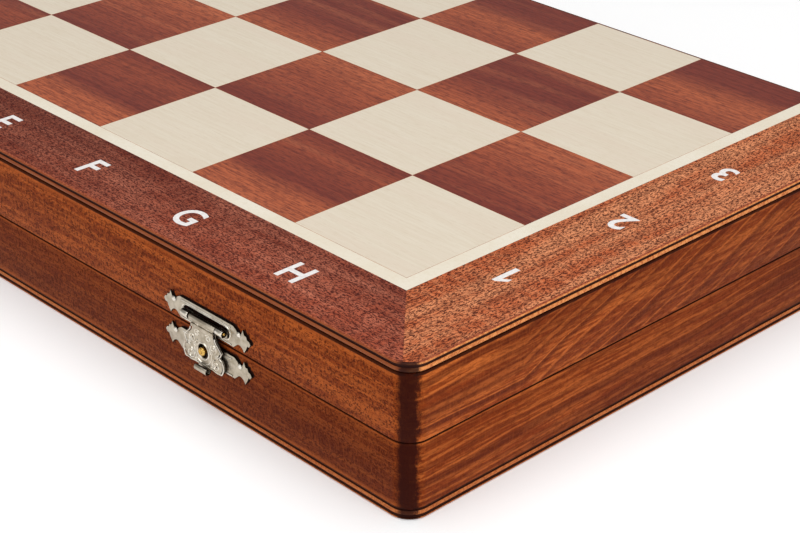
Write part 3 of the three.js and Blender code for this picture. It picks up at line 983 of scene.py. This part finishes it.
def rectangle(x0, x1, y0, y1):
    return [(x0, y0), (x1, y0), (x1, y1), (x0, y1)]


def spiral(x, y, outer, inner, start, turns, side, steps=18):
    points = []
    for step in range(steps + 1):
        share = step / steps
        angle = math.radians(start) + share * turns * 2 * math.pi
        radius = outer + (inner - outer) * share
        points.append((side * (x + radius * math.cos(angle)), y + radius * math.sin(angle)))
    return points


def insetLine(outline, amount):
    # the same line a little further in
    inner = []
    for before, here, after in zip(outline[-1:] + outline[:-1], outline, outline[1:] + outline[:1]):
        course = (Vector(after) - Vector(before)).normalized()
        inner.append((here[0] - course.y * amount, here[1] + course.x * amount))
    return inner


def acrossPiece(profile, start, end, y, off, steps=24):
    # a turned piece whose axis lies across the latch
    bm = turnedPiece([(radius, start + (end - start) * share) for radius, share in profile], steps)
    return moved(bm, Matrix.Translation((0, y, off)) @ quarter("Y"))


def latchPlace(side):
    return (Matrix.Translation((side * latch["spacing"] / 2, frontFace, parting))
            @ quarter("X") @ Matrix.Scale(mm, 4))


def latchPiece(name, parts, side, material, body, slot, nodes=(), smooth=35):
    addPiece(name, gathered(parts, latchPlace(side)), material, body, slot, nodes, smooth)


def worn(bm, ridged=False):
    # raised work takes the brighter nickel, partly rubbed wear and partly a painted highlight;
    # sideways faces such as cut edges take the dark nickel as painted shade
    for face in bm.faces:
        face.normal_update()
        face.material_index = 2 if abs(face.normal.z) < 0.45 else 1 if ridged else 0
    return bm


def nailHeads(middle):
    out, up = latch["nailPlace"]
    places = [(side * out, middle + up, latch["plate"]) for side in (-1, 1)]
    return [moved(turnedPiece(latch["nail"], 16), Matrix.Translation(place)) for place in places]


def plateParts(middle, slotted):
    outline = [(x, y + middle) for x, y in mirroredOutline(latch["plateSide"])]
    plate = latch["plate"]
    holes = [capsule(*latch["slot"], middle)] if slotted else []
    parts = [worn(flatPiece([outline, *holes], plate, 0.15, plate / 2))]
    reach, *heights = latch["beads"]
    raised = [ridge([(-reach, middle + up), (reach, middle + up)], 0.22, plate) for up in heights]
    if slotted:
        raised.append(ridge(capsule(*latch["slotRim"], middle), 0.28, plate, closed=True))
    return parts + [worn(part, True) for part in raised + nailHeads(middle)]


def makeLatchPlate(side, name):
    height, off = latch["rollHeight"], latch["rollOff"]
    parts = plateParts(latch["upperPlate"], True)
    outer = latch["lugRadius"]
    rounded = [(0.55, 0.0), (outer - 0.1, 0.0), (outer, 0.06), (outer, 0.94), (outer - 0.1, 1.0),
               (0.55, 1.0)]
    for way in (-1, 1):
        low, high = sorted((way * (latch["rollHalf"] + 0.5), way * latch["lugEnd"]))
        # a painted highlight on the lugs, with painted shade on their sides
        parts.append(worn(acrossPiece(rounded, low, high, height, off), True))
        parts.append(flatPiece([rectangle(low, high, height - 2.2, height + 0.4)], 0.7, 0.1, 0.5))
    latchPiece(f"{name}_latch_plate", parts, side, latchMetals, "upper_half", "latch_nickel",
               [f"latch_{name}_plate"])
    reach = latch["lugEnd"] + 0.25
    pin = latch["pinRadius"]
    profile = [(0, 0.0), (pin * 0.7, 0.004), (pin, 0.016), (pin, 0.984), (pin * 0.7, 0.996),
               (0, 1.0)]
    rod = acrossPiece(profile, -reach, reach, height, off, 16)
    latchPiece(f"{name}_latch_rod", [rod], side, materials["brass"], "upper_half",
               "latch_nickel", [f"latch_{name}_pin"])


def engraving(outline):
    # raised lines of the stamping: path, thickness, closed
    border = [point for point in insetLine(outline, 0.62) if -9.6 < point[1] < 1.9]
    lines = [(circle(latch["holeRadius"] + 0.4, 0, latch["knobHeight"]), 0.26, True),
             (border, 0.2, False)]
    for way in (-1, 1):
        lines.append((smoothLine([(way * x, y) for x, y in latch["leaf"]], 3), 0.2, False))
        lines += [(spiral(*scroll, way), thick, False) for *scroll, thick in latch["scrolls"]]
    return lines


def makeHasp(side, name):
    front = latch["bladeOff"] + latch["blade"] / 2
    outline = mirroredOutline(latch["haspSide"])
    hole = circle(latch["holeRadius"], 0, latch["knobHeight"])
    parts = [worn(flatPiece([outline, hole], latch["blade"], 0.15, latch["bladeOff"]))]
    # a folded rim behind the hasp's outline; its sides take the dark nickel as painted shade and
    # widen the dark band beside the hasp
    parts.append(worn(flatPiece([outline, insetLine(outline, 0.45)], 0.6, 0.04, 1.45)))
    half, outer = latch["rollHalf"], latch["rollRadius"]
    roll = [(0.6, 0.0), (outer - 0.1, 0.0), (outer, 0.012), (outer, 0.988), (outer - 0.1, 1.0),
            (0.6, 1.0)]
    parts.append(worn(acrossPiece(roll, -half, half, latch["rollHeight"], latch["rollOff"])))
    parts.append(flatPiece([rectangle(-5.2, 5.2, 2.15, 3.35)], 0.5, 0.2, front + 0.1))
    parts += [worn(ridge(line, thick, front, closed), True)
              for line, thick, closed in engraving(outline)]
    # the finger lift curls out and up from the lower edge
    path = smoothLine(latch["lift"], 4)
    lift = flatPiece([insetLine(path + path[::-1], 0.2)], latch["liftWidth"], 0.06)
    swap = Matrix(((0, 0, 1, 0), (0, 1, 0, 0), (1, 0, 0, 0), (0, 0, 0, 1)))
    parts.append(worn(moved(lift, swap)))
    latchPiece(f"{name}_embossed_hasp", parts, side, latchMetals, f"{name}_hasp", "latch_nickel",
               [f"latch_{name}_hasp"])


def makeCatch(side, name):
    latchPiece(f"{name}_catch_plate", plateParts(latch["lowerPlate"], False), side, latchMetals,
               "lower_half", "latch_nickel", [f"latch_{name}_catch"])
    knob = moved(turnedPiece(smoothLine(latch["knob"], 4), 28),
                 Matrix.Translation((0, latch["knobHeight"], 0)))
    latchPiece(f"{name}_catch_knob", [knob], side, materials["brass"], "lower_half", "hinge_brass")


def makeTarnish(side, name, half, material):
    # a painted shadow: a thin dark sheet on the wall in a narrow band behind, beside and above each
    # plate
    beside, above = latch["shadowReach"]
    middle = latch[f"{half}Plate"]
    outline = [(x + beside, y + middle + above) for x, y in mirroredOutline(latch["plateSide"])]
    mark = flatPiece([outline], 0.04, 0.01, 0.025)
    latchPiece(f"{name}_{half}_tarnish", [mark], side, material, f"{half}_half", "stained_wood",
               smooth=None)


def tarnishedLacquer():
    # the near-black brown of the painted shadow, with faint spots
    material, place = startMaterial("tarnishedLacquer")
    spots = place.noise(700, 3, 0.6)
    tone = spots.clamped(0.35, 0.65).mixed(paint(22, 8, 4), paint(40, 15, 8))
    return finishMaterial(material, tone, 0.6 + spots * 0.1, spots, strength=0.1, depth=0.02,
                          specular=0.1)


paintedShadowFinish = tarnishedLacquer()
for side, name in ((-1, "left"), (1, "right")):
    makeTarnish(side, name, "upper", paintedShadowFinish)
    makeTarnish(side, name, "lower", paintedShadowFinish)
    makeLatchPlate(side, name)
    makeHasp(side, name)
    makeCatch(side, name)
print("latches made")


# hinges are drawn in mm about their centre, the pin's axis and the parting plane
hinge = {
    "spacing": 300 * mm,
    "axis": backFace + 0.15 * mm,
    "length": 50.0,
    "barrel": 2.5,
    "pin": 0.95,
    "bore": 1.03,
    "leafNear": -8.15,
    "leafFar": -2.8,
    "leafLow": 0.25,
    "leafThickness": 1.2,
    "knuckleGap": 0.15,          # half the play between two knuckles
    "chamfer": 0.25,
    "screw": 1.55,
    "screwSlot": (1.25, 0.2),
}


def hingePlace(side, lower):
    flip = Matrix.Scale(-1, 4, (0, 0, 1)) if lower else Matrix()
    return (Matrix.Translation((side * hinge["spacing"] / 2, hinge["axis"], parting)) @ flip
            @ Matrix.Scale(mm, 4))


def makeHingeLeaf(side, name, half, knuckles):
    length, low, thick = hinge["length"], hinge["leafLow"], hinge["leafThickness"]
    near, far, play, edge = (hinge[key] for key in ("leafNear", "leafFar", "knuckleGap", "chamfer"))
    bore, outer = hinge["bore"], hinge["barrel"]
    parts = [flatPiece([rectangle(-length / 2, length / 2, near, far)], thick, 0.15,
                       low + thick / 2)]
    for knuckle in knuckles:
        start = -length / 2 + knuckle * length / 3 + play
        end = start + length / 3 - 2 * play
        tongue = rectangle(start, end, far - 1, -hinge["pin"])
        parts.append(flatPiece([tongue], thick, 0.1, low + thick / 2))
        ring = [(bore, start), (outer - edge, start), (outer, start + edge), (outer, end - edge),
                (outer - edge, end), (bore, end)]
        parts.append(moved(turnedPiece(ring, 40, closed=True), quarter("Y")))
    middle = (near + far) / 2
    wide, tall = hinge["screwSlot"]
    for x in (-length / 3, 0, length / 3):
        slot = rectangle(x - wide, x + wide, middle - tall, middle + tall)
        parts.append(flatPiece([circle(hinge["screw"], x, middle, 24), slot], 0.3, 0.06,
                               low + 0.08))
    addPiece(f"{name}_{half}_hinge_leaf", gathered(parts, hingePlace(side, half == "lower")),
             materials["brass"], f"{half}_half", "hinge_brass", [f"hinge_{name}_{half}_leaf"])


def makeHingePin(side, name):
    reach, radius = hinge["length"] / 2, hinge["pin"]
    profile = [(0, -reach), (radius - 0.3, -reach), (radius, -reach + 0.3), (radius, reach - 0.3),
               (radius - 0.3, reach), (0, reach)]
    rod = moved(turnedPiece(profile, 24), quarter("Y"))
    addPiece(f"{name}_hinge_rod", gathered([rod], hingePlace(side, False)), materials["brass"],
             "lower_half", "hinge_brass", [f"hinge_{name}_pin"])


for side, name in ((-1, "left"), (1, "right")):
    makeHingeLeaf(side, name, "lower", (0, 2))
    makeHingeLeaf(side, name, "upper", (1,))
    makeHingePin(side, name)
print("hinges made")


tray = {"ridgeRound": 1.1 * mm, "ridgeSteps": 4}


def makeTray(half):
    body = f"{half}_half"
    addPiece(f"{half}_tray_lining", nodeCopy(f"{half}_tray_floor"), materials["flock"], body,
             "tray_flock", [f"{half}_tray_floor"])
    node = f"{half}_tray_dividers"
    dividers = nodeCopy(node)
    low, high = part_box(node)
    rim = high.z if half == "lower" else low.z
    soften(dividers, sharpEdges(dividers, lambda v: abs(v.z - rim) < 1e-5), tray["ridgeRound"],
           tray["ridgeSteps"])
    addPiece(f"{half}_tray_comb", dividers, materials["flock"], body, "tray_flock", [node])


for half in ("lower", "upper"):
    makeTray(half)
print("trays made")


# sizes of the chessmen are in mm; profiles are shares of the base radius and of the height.
# scallops: lowest and highest of the rim, how many, how deep; crenels: above, floor, how many
foot = [(0, 0.0, "corner"), (0.9, 0.0, "corner"), (0.95, 0.0), (1, 0.3), (1, 0.62), (0.96, 0.86),
        (0.9, 0.93, "corner"), (0.9, 1.02), (0.87, 1.2), (0.8, 1.3, "corner")]

men = {
    "king": {"size": (36, 90), "foot": 0.055, "profile": [
        (0.7, 0.085, "corner"), (0.58, 0.115), (0.47, 0.16), (0.38, 0.22), (0.32, 0.3),
        (0.285, 0.4), (0.285, 0.49), (0.32, 0.545), (0.36, 0.565, "corner"), (0.5, 0.57),
        (0.575, 0.59), (0.56, 0.608), (0.45, 0.615, "corner"), (0.42, 0.623), (0.46, 0.632),
        (0.48, 0.64), (0.44, 0.65), (0.34, 0.655, "corner"), (0.335, 0.68), (0.42, 0.745),
        (0.52, 0.8), (0.59, 0.832, "corner"), (0.59, 0.845), (0.52, 0.855, "corner"),
        (0.4, 0.872), (0.2, 0.887), (0.12, 0.893, "corner"), (0.15, 0.903),
        (0.1, 0.913, "corner"), (0, 0.914, "corner")]},
    "queen": {"size": (34.2, 81.9), "foot": 0.058, "profile": [
        (0.7, 0.09, "corner"), (0.57, 0.125), (0.46, 0.175), (0.37, 0.24), (0.315, 0.32),
        (0.285, 0.42), (0.29, 0.52), (0.33, 0.58), (0.36, 0.6, "corner"), (0.5, 0.607),
        (0.56, 0.627), (0.54, 0.645), (0.42, 0.655, "corner"), (0.4, 0.663), (0.44, 0.673),
        (0.42, 0.685), (0.33, 0.692, "corner"), (0.34, 0.72), (0.42, 0.79), (0.53, 0.85),
        (0.6, 0.885, "corner"), (0.56, 0.9, "corner"), (0.44, 0.885, "corner"), (0.34, 0.905),
        (0.2, 0.93), (0.1, 0.94, "corner"), (0.14, 0.952), (0.15, 0.968), (0.1, 0.985),
        (0, 0.99, "corner")], "scallops": (0.875, 0.91, 9, 0.012)},
    "bishop": {"size": (30.96, 69.3), "foot": 0.066, "profile": [
        (0.7, 0.105, "corner"), (0.56, 0.15), (0.45, 0.21), (0.37, 0.29), (0.32, 0.38),
        (0.3, 0.46), (0.33, 0.52), (0.37, 0.54, "corner"), (0.52, 0.548), (0.6, 0.572),
        (0.58, 0.595), (0.44, 0.605, "corner"), (0.42, 0.615), (0.46, 0.627), (0.43, 0.64),
        (0.34, 0.648, "corner"), (0.38, 0.68), (0.47, 0.735), (0.485, 0.785), (0.42, 0.85),
        (0.28, 0.91), (0.13, 0.945, "corner"), (0.155, 0.957), (0.15, 0.975), (0.08, 0.989),
        (0, 0.99, "corner")], "slit": 0.84},
    "rook": {"size": (30.96, 53.1), "foot": 0.085, "profile": [
        (0.7, 0.135, "corner"), (0.6, 0.18), (0.52, 0.25), (0.465, 0.35), (0.44, 0.47),
        (0.45, 0.6), (0.5, 0.68), (0.53, 0.7, "corner"), (0.63, 0.71), (0.67, 0.735),
        (0.63, 0.76, "corner"), (0.63, 0.78, "corner"), (0.7, 0.8, "corner"),
        (0.705, 0.84, "corner"), (0.715, 0.99, "corner"), (0.69, 1.0, "corner"),
        (0.52, 1.0, "corner"), (0.5, 0.99, "corner"), (0.49, 0.86, "corner"),
        (0.3, 0.85), (0, 0.85, "corner")], "crenels": (0.9, 0.885, 6)},
    "pawn": {"size": (28.08, 45), "foot": 0.1, "profile": [
        (0.7, 0.15, "corner"), (0.58, 0.2), (0.47, 0.28), (0.38, 0.38), (0.32, 0.5), (0.32, 0.575),
        (0.38, 0.61, "corner"), (0.52, 0.62), (0.58, 0.65), (0.52, 0.68), (0.36, 0.69, "corner"),
        (0.36, 0.7), (0.47, 0.745), (0.53, 0.81), (0.515, 0.87), (0.42, 0.93), (0.25, 0.965),
        (0, 0.972, "corner")]},
    "knight": {"size": (32.04, 63.9), "foot": 0.072, "profile": [
        (0.78, 0.11, "corner"), (0.72, 0.13), (0.7, 0.15), (0.74, 0.165), (0.74, 0.185),
        (0.66, 0.2, "corner"), (0, 0.2, "corner")]},
}

horse = [(-0.62, 0.19, "corner"), (0.6, 0.19, "corner"), (0.68, 0.26), (0.62, 0.36), (0.44, 0.46),
         (0.36, 0.535), (0.46, 0.555), (0.62, 0.51), (0.78, 0.485), (0.9, 0.52), (0.945, 0.6),
         (0.9, 0.67), (0.72, 0.74), (0.5, 0.81), (0.38, 0.87), (0.31, 0.92), (0.25, 0.99, "corner"),
         (0.1, 0.935), (-0.04, 0.92), (-0.3, 0.86), (-0.56, 0.74), (-0.72, 0.58), (-0.76, 0.4),
         (-0.7, 0.27)]


horseParts = {
    "thickness": 0.94,
    "rim": 2.2,
    "jaw": [(0.36, 0.62), (0.18, 0.52), (-0.06, 0.5), (-0.12, 0.6), (0.02, 0.7)],
    "mouth": [(0.92, 0.55), (0.74, 0.57), (0.58, 0.6)],
    "lock": [(-0.72, 0.34, 0.02), (-0.5, 0.38, 0.05), (-0.3, 0.35, 0.05)],     # x, height, step
    "locks": (5, 0.11),
    "eye": [(0, -0.6), (1.0, -0.5), (1.25, 0), (0.9, 0.5), (0.5, 0.7), (0, 0.75)],
    "nostril": [(0.35, 0.0), (0.8, 0.0), (0.9, 0.35), (0.6, 0.6), (0.35, 0.4)],
    "ear": [(0.04, 0.9, "corner"), (0.2, 0.88), (0.28, 0.93), (0.25, 1.0, "corner"), (0.12, 0.97)],
}


def sizeOf(kind):
    width, height = men[kind]["size"]
    return width / 2, height


def manProfile(kind):
    radius, height = sizeOf(kind)
    base = [(point[0], point[1] * men[kind]["foot"], *point[2:]) for point in foot]
    line = smoothLine(base + men[kind]["profile"], 4)
    return [(max(r, 0) * radius, h * height) for r, h in line]


def scallop(bm, kind):
    low, high, count, drop = men[kind]["scallops"]
    radius, height = sizeOf(kind)
    for vert in bm.verts:
        outward = math.hypot(vert.co.x, vert.co.y) > 0.43 * radius
        if outward and low * height < vert.co.z < high * height:
            turn = math.atan2(vert.co.y, vert.co.x) * count
            vert.co.z -= drop * height * (1 + math.cos(turn))
    return bm


def crenellate(bm, kind):
    above, floor, count = men[kind]["crenels"]
    height = sizeOf(kind)[1]
    for vert in bm.verts:
        turn = math.atan2(vert.co.y, vert.co.x) / (2 * math.pi) * count
        if vert.co.z > above * height and turn % 1 < 0.3:
            vert.co.z = floor * height
    return bm


def cutSlit(bm, kind):
    # the bishop's mitre is cut on a slant from one side
    radius, height = sizeOf(kind)
    normal = Vector((-0.62, 0, 1)).normalized()
    centre = Vector((0.12 * radius, 0, men[kind]["slit"] * height))
    sides = [centre + normal * 0.55, centre - normal * 0.55]
    stop = Vector((0.02 * radius, 0, 0))

    def mitre(behind):
        return [f for f in bm.faces if f.calc_center_median().z > 0.7 * height
                and f.calc_center_median().x > behind]

    for point in sides:
        cutAlong(bm, mitre(-0.2 * radius), point, normal)
    cutAlong(bm, mitre(-radius), stop, (1, 0, 0))

    def between(face):
        middle = face.calc_center_median()
        return (middle - sides[0]).dot(normal) < 0 < (middle - sides[1]).dot(normal)

    bmesh.ops.delete(bm, geom=list(filter(between, mitre(stop.x))), context="FACES")
    rim = {v for e in bm.edges if e.is_boundary for v in e.verts}
    ends = []
    for point in sides:
        edge = [v for v in rim if abs((v.co - point).dot(normal)) < 1e-3]
        edge.sort(key=lambda v: math.atan2(v.co.y, v.co.x - stop.x + 1e-3))
        bm.faces.new(edge)
        ends.append((edge[0], edge[-1]))
    bm.faces.new([ends[0][0], ends[0][1], ends[1][1], ends[1][0]])
    return bm


def addCross(bm, kind):
    # a flat cross with splayed arms stands on the king's crown
    radius, height = sizeOf(kind)
    arm, reach = 0.07 * radius, 0.25 * radius
    low, middle = 0.905 * height, 0.945 * height
    side = [(arm * 0.8, low), (arm * 0.7, middle - arm), (reach, middle - 1.7 * arm),
            (reach, middle + 1.7 * arm), (arm * 0.7, middle + arm), (arm * 1.7, height)]
    outline = mirroredOutline([(x, y, "corner") for x, y in side])
    return gathered([bm, moved(flatPiece([outline], 0.2 * radius, 0.35), quarter("X"))])


def addHorse(bm, kind):
    # the head is a rounded slab with its features raised on both cheeks
    radius, height = sizeOf(kind)

    def sized(points):
        return [(x * radius, y * height, *rest) for x, y, *rest in points]

    def onCheek(piece, x, y, off, face):
        place = Matrix.Translation((x * radius, y * height, face * off * radius))
        return moved(piece, place @ Matrix.Scale(face, 4, (0, 0, 1)))

    shape = horseParts
    head = flatPiece([smoothLine(sized(horse), 4, closed=True)], shape["thickness"] * radius,
                     shape["rim"])
    for vert in head.verts:     # the muzzle and the crest are narrower than the cheeks and neck
        forward, up = vert.co.x / radius, vert.co.y / height
        narrow = 1 - 0.35 * max(0, forward - 0.3) - 0.6 * max(0, up - 0.72)
        vert.co.z *= max(0.4, narrow)
    count, rise = shape["locks"]
    lines = [(shape["jaw"], 0.55, 0.47), (shape["mouth"], 0.4, 0.36)]     # with thickness, place
    lines += [([(x + step * i, y + rise * i) for x, y, step in shape["lock"]], 0.75, 0.44)
              for i in range(count)]
    parts = [head]
    for face in (-1, 1):
        parts += [ridge(smoothLine(sized(line), 4), thick, face * off * radius)
                  for line, thick, off in lines]
        parts.append(onCheek(turnedPiece(shape["eye"], 16), 0.3, 0.765, 0.4, face))
        nostril = turnedPiece(shape["nostril"], 12, closed=True)
        parts.append(onCheek(nostril, 0.82, 0.61, 0.32, face))
        ear = smoothLine(sized(shape["ear"]), 3, closed=True)
        parts.append(flatPiece([ear], 1.6, 0.4, face * 0.16 * radius))
    return gathered([bm, gathered(parts, quarter("X"))])


def makeMan(kind):
    # one man standing upright, in mm
    bm = turnedPiece(manProfile(kind), 72 if kind == "rook" else 40)
    carving = {"king": addCross, "queen": scallop, "bishop": cutSlit, "knight": addHorse,
               "rook": crenellate}
    if kind in carving:
        bm = carving[kind](bm, kind)
    for face in bm.faces:       # felt under the base
        face.material_index = int(max(v.co.z for v in face.verts) < 0.3)
    return bm


def lyingTilt(kind):
    # a man lying down rests on the rim of its base and on the widest part of its head
    profile = manProfile(kind)
    radius, height = sizeOf(kind)
    rimHeight = max(h for r, h in profile if r > radius - 0.01)
    touches = [(r, h) for r, h in profile if h > rimHeight + 1]
    if kind == "knight":
        touches.append((0.47 * radius, height))
    return min(math.atan2(radius - r, h - rimHeight) for r, h in touches)


def layMan(node, colour, kind, shape, headsBack):
    tilt = lyingTilt(kind)
    lie = Matrix.Rotation(-math.pi / 2, 4, "X")
    if headsBack:
        turn = Matrix.Rotation(-tilt, 4, "X") @ lie
    else:
        turn = Matrix.Rotation(tilt, 4, "X") @ Matrix.Rotation(math.pi, 4, "Z") @ lie
    bm = bmesh.new()
    bm.from_mesh(shape)
    moved(bm, turn @ Matrix.Scale(mm, 4))
    low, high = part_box(node)
    mine = extent(bm)
    shift = (low + high - mine[0] - mine[1]) / 2
    shift.z = low.z - mine[0].z
    if kind == "knight":        # centred on its base, as the head leans out to one side
        shift.x = (low.x + high.x) / 2
    moved(bm, Matrix.Translation(shift))
    addPiece(f"{node}_turned", bm, [materials[colour], materials["flock"]], "lower_half",
             "boxwood" if colour == "white" else "rosewood", [node], smooth=40)


def columnOf(node):
    low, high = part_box(node)
    return round((low.x + high.x) / 2, 4)


menNodes = sorted(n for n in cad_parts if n.startswith(("white_", "black_")))
columns = sorted({columnOf(node) for node in menNodes})
shapes = {}
for kind in men:
    standing = makeMan(kind)
    shapes[kind] = bpy.data.meshes.new(kind)
    standing.to_mesh(shapes[kind])
    standing.free()
for node in menNodes:
    colour, kind = node.split("_")[:2]
    layMan(node, colour, kind, shapes[kind], columns.index(columnOf(node)) % 2 == 0)
for shape in shapes.values():
    bpy.data.meshes.remove(shape)
print("chessmen made")


stage = {
    "camera": (0.56527, -0.42873, 0.31786),
    "direction": (-0.64387, 0.60905, -0.46313),
    "lens": 89.684,
    "floorSize": 6.0,
    "floorDrop": 0.2 * mm,
    "floorGlow": 0.14,
    "sky": 0.25,
    # each light: place, target, width and height, power
    "topLight": ((0.2, -0.1, 1.5), (0, 0, 0), (1.6, 1.6), 19),
    "sideLight": ((1.6, -0.2, 0.6), (0.1, 0, 0.02), (0.9, 0.7), 8),
    "frontLight": ((0.1, -1.7, 0.6), (0, -0.1, 0.02), (1.2, 0.7), 6),
}


def addToStage(name, data, place, direction):
    item = bpy.data.objects.new(name, data)
    item.location = place
    item.rotation_euler = Vector(direction).to_track_quat("-Z", "Y").to_euler()
    collection.objects.link(item)
    return item


def addCamera():
    data = bpy.data.cameras.new("camera")
    data.lens = stage["lens"]
    data.sensor_width = 36
    data.clip_start = 0.01
    camera = addToStage("camera", data, stage["camera"], stage["direction"])
    bpy.context.scene.camera = camera


def addFloor():
    material, place = startMaterial("paleFloor")
    tone = place.noise(3).mixed(paint(250, 250, 250), paint(246, 246, 246))
    finishMaterial(material, tone, 0.7, specular=0.2)
    shader = material.node_tree.nodes["Principled BSDF"]
    shader.inputs["Emission Color"].default_value = (1, 1, 1, 1)
    shader.inputs["Emission Strength"].default_value = stage["floorGlow"]
    bm = bmesh.new()
    bmesh.ops.create_grid(bm, x_segments=1, y_segments=1, size=stage["floorSize"] / 2)
    mesh = bpy.data.meshes.new("floor")
    bm.to_mesh(mesh)
    bm.free()
    mesh.materials.append(material)
    floor = bpy.data.objects.new("floor", mesh)
    floor.location.z = -stage["floorDrop"]
    collection.objects.link(floor)


def addSoftbox(name):
    place, target, (width, height), power = stage[name]
    data = bpy.data.lights.new(name, "AREA")
    data.shape = "RECTANGLE"
    data.size, data.size_y = width, height
    data.energy = power
    addToStage(name, data, place, Vector(target) - Vector(place))


def addWorld():
    world = bpy.data.worlds.new("studio")
    world.use_nodes = True
    background = world.node_tree.nodes["Background"]
    background.inputs["Color"].default_value = (1, 1, 1, 1)
    background.inputs["Strength"].default_value = stage["sky"]
    bpy.context.scene.world = world


addCamera()
addFloor()
addWorld()
for name in ("topLight", "sideLight", "frontLight"):
    addSoftbox(name)
bpy.context.scene.view_settings.view_transform = "Standard"
print("stage set")
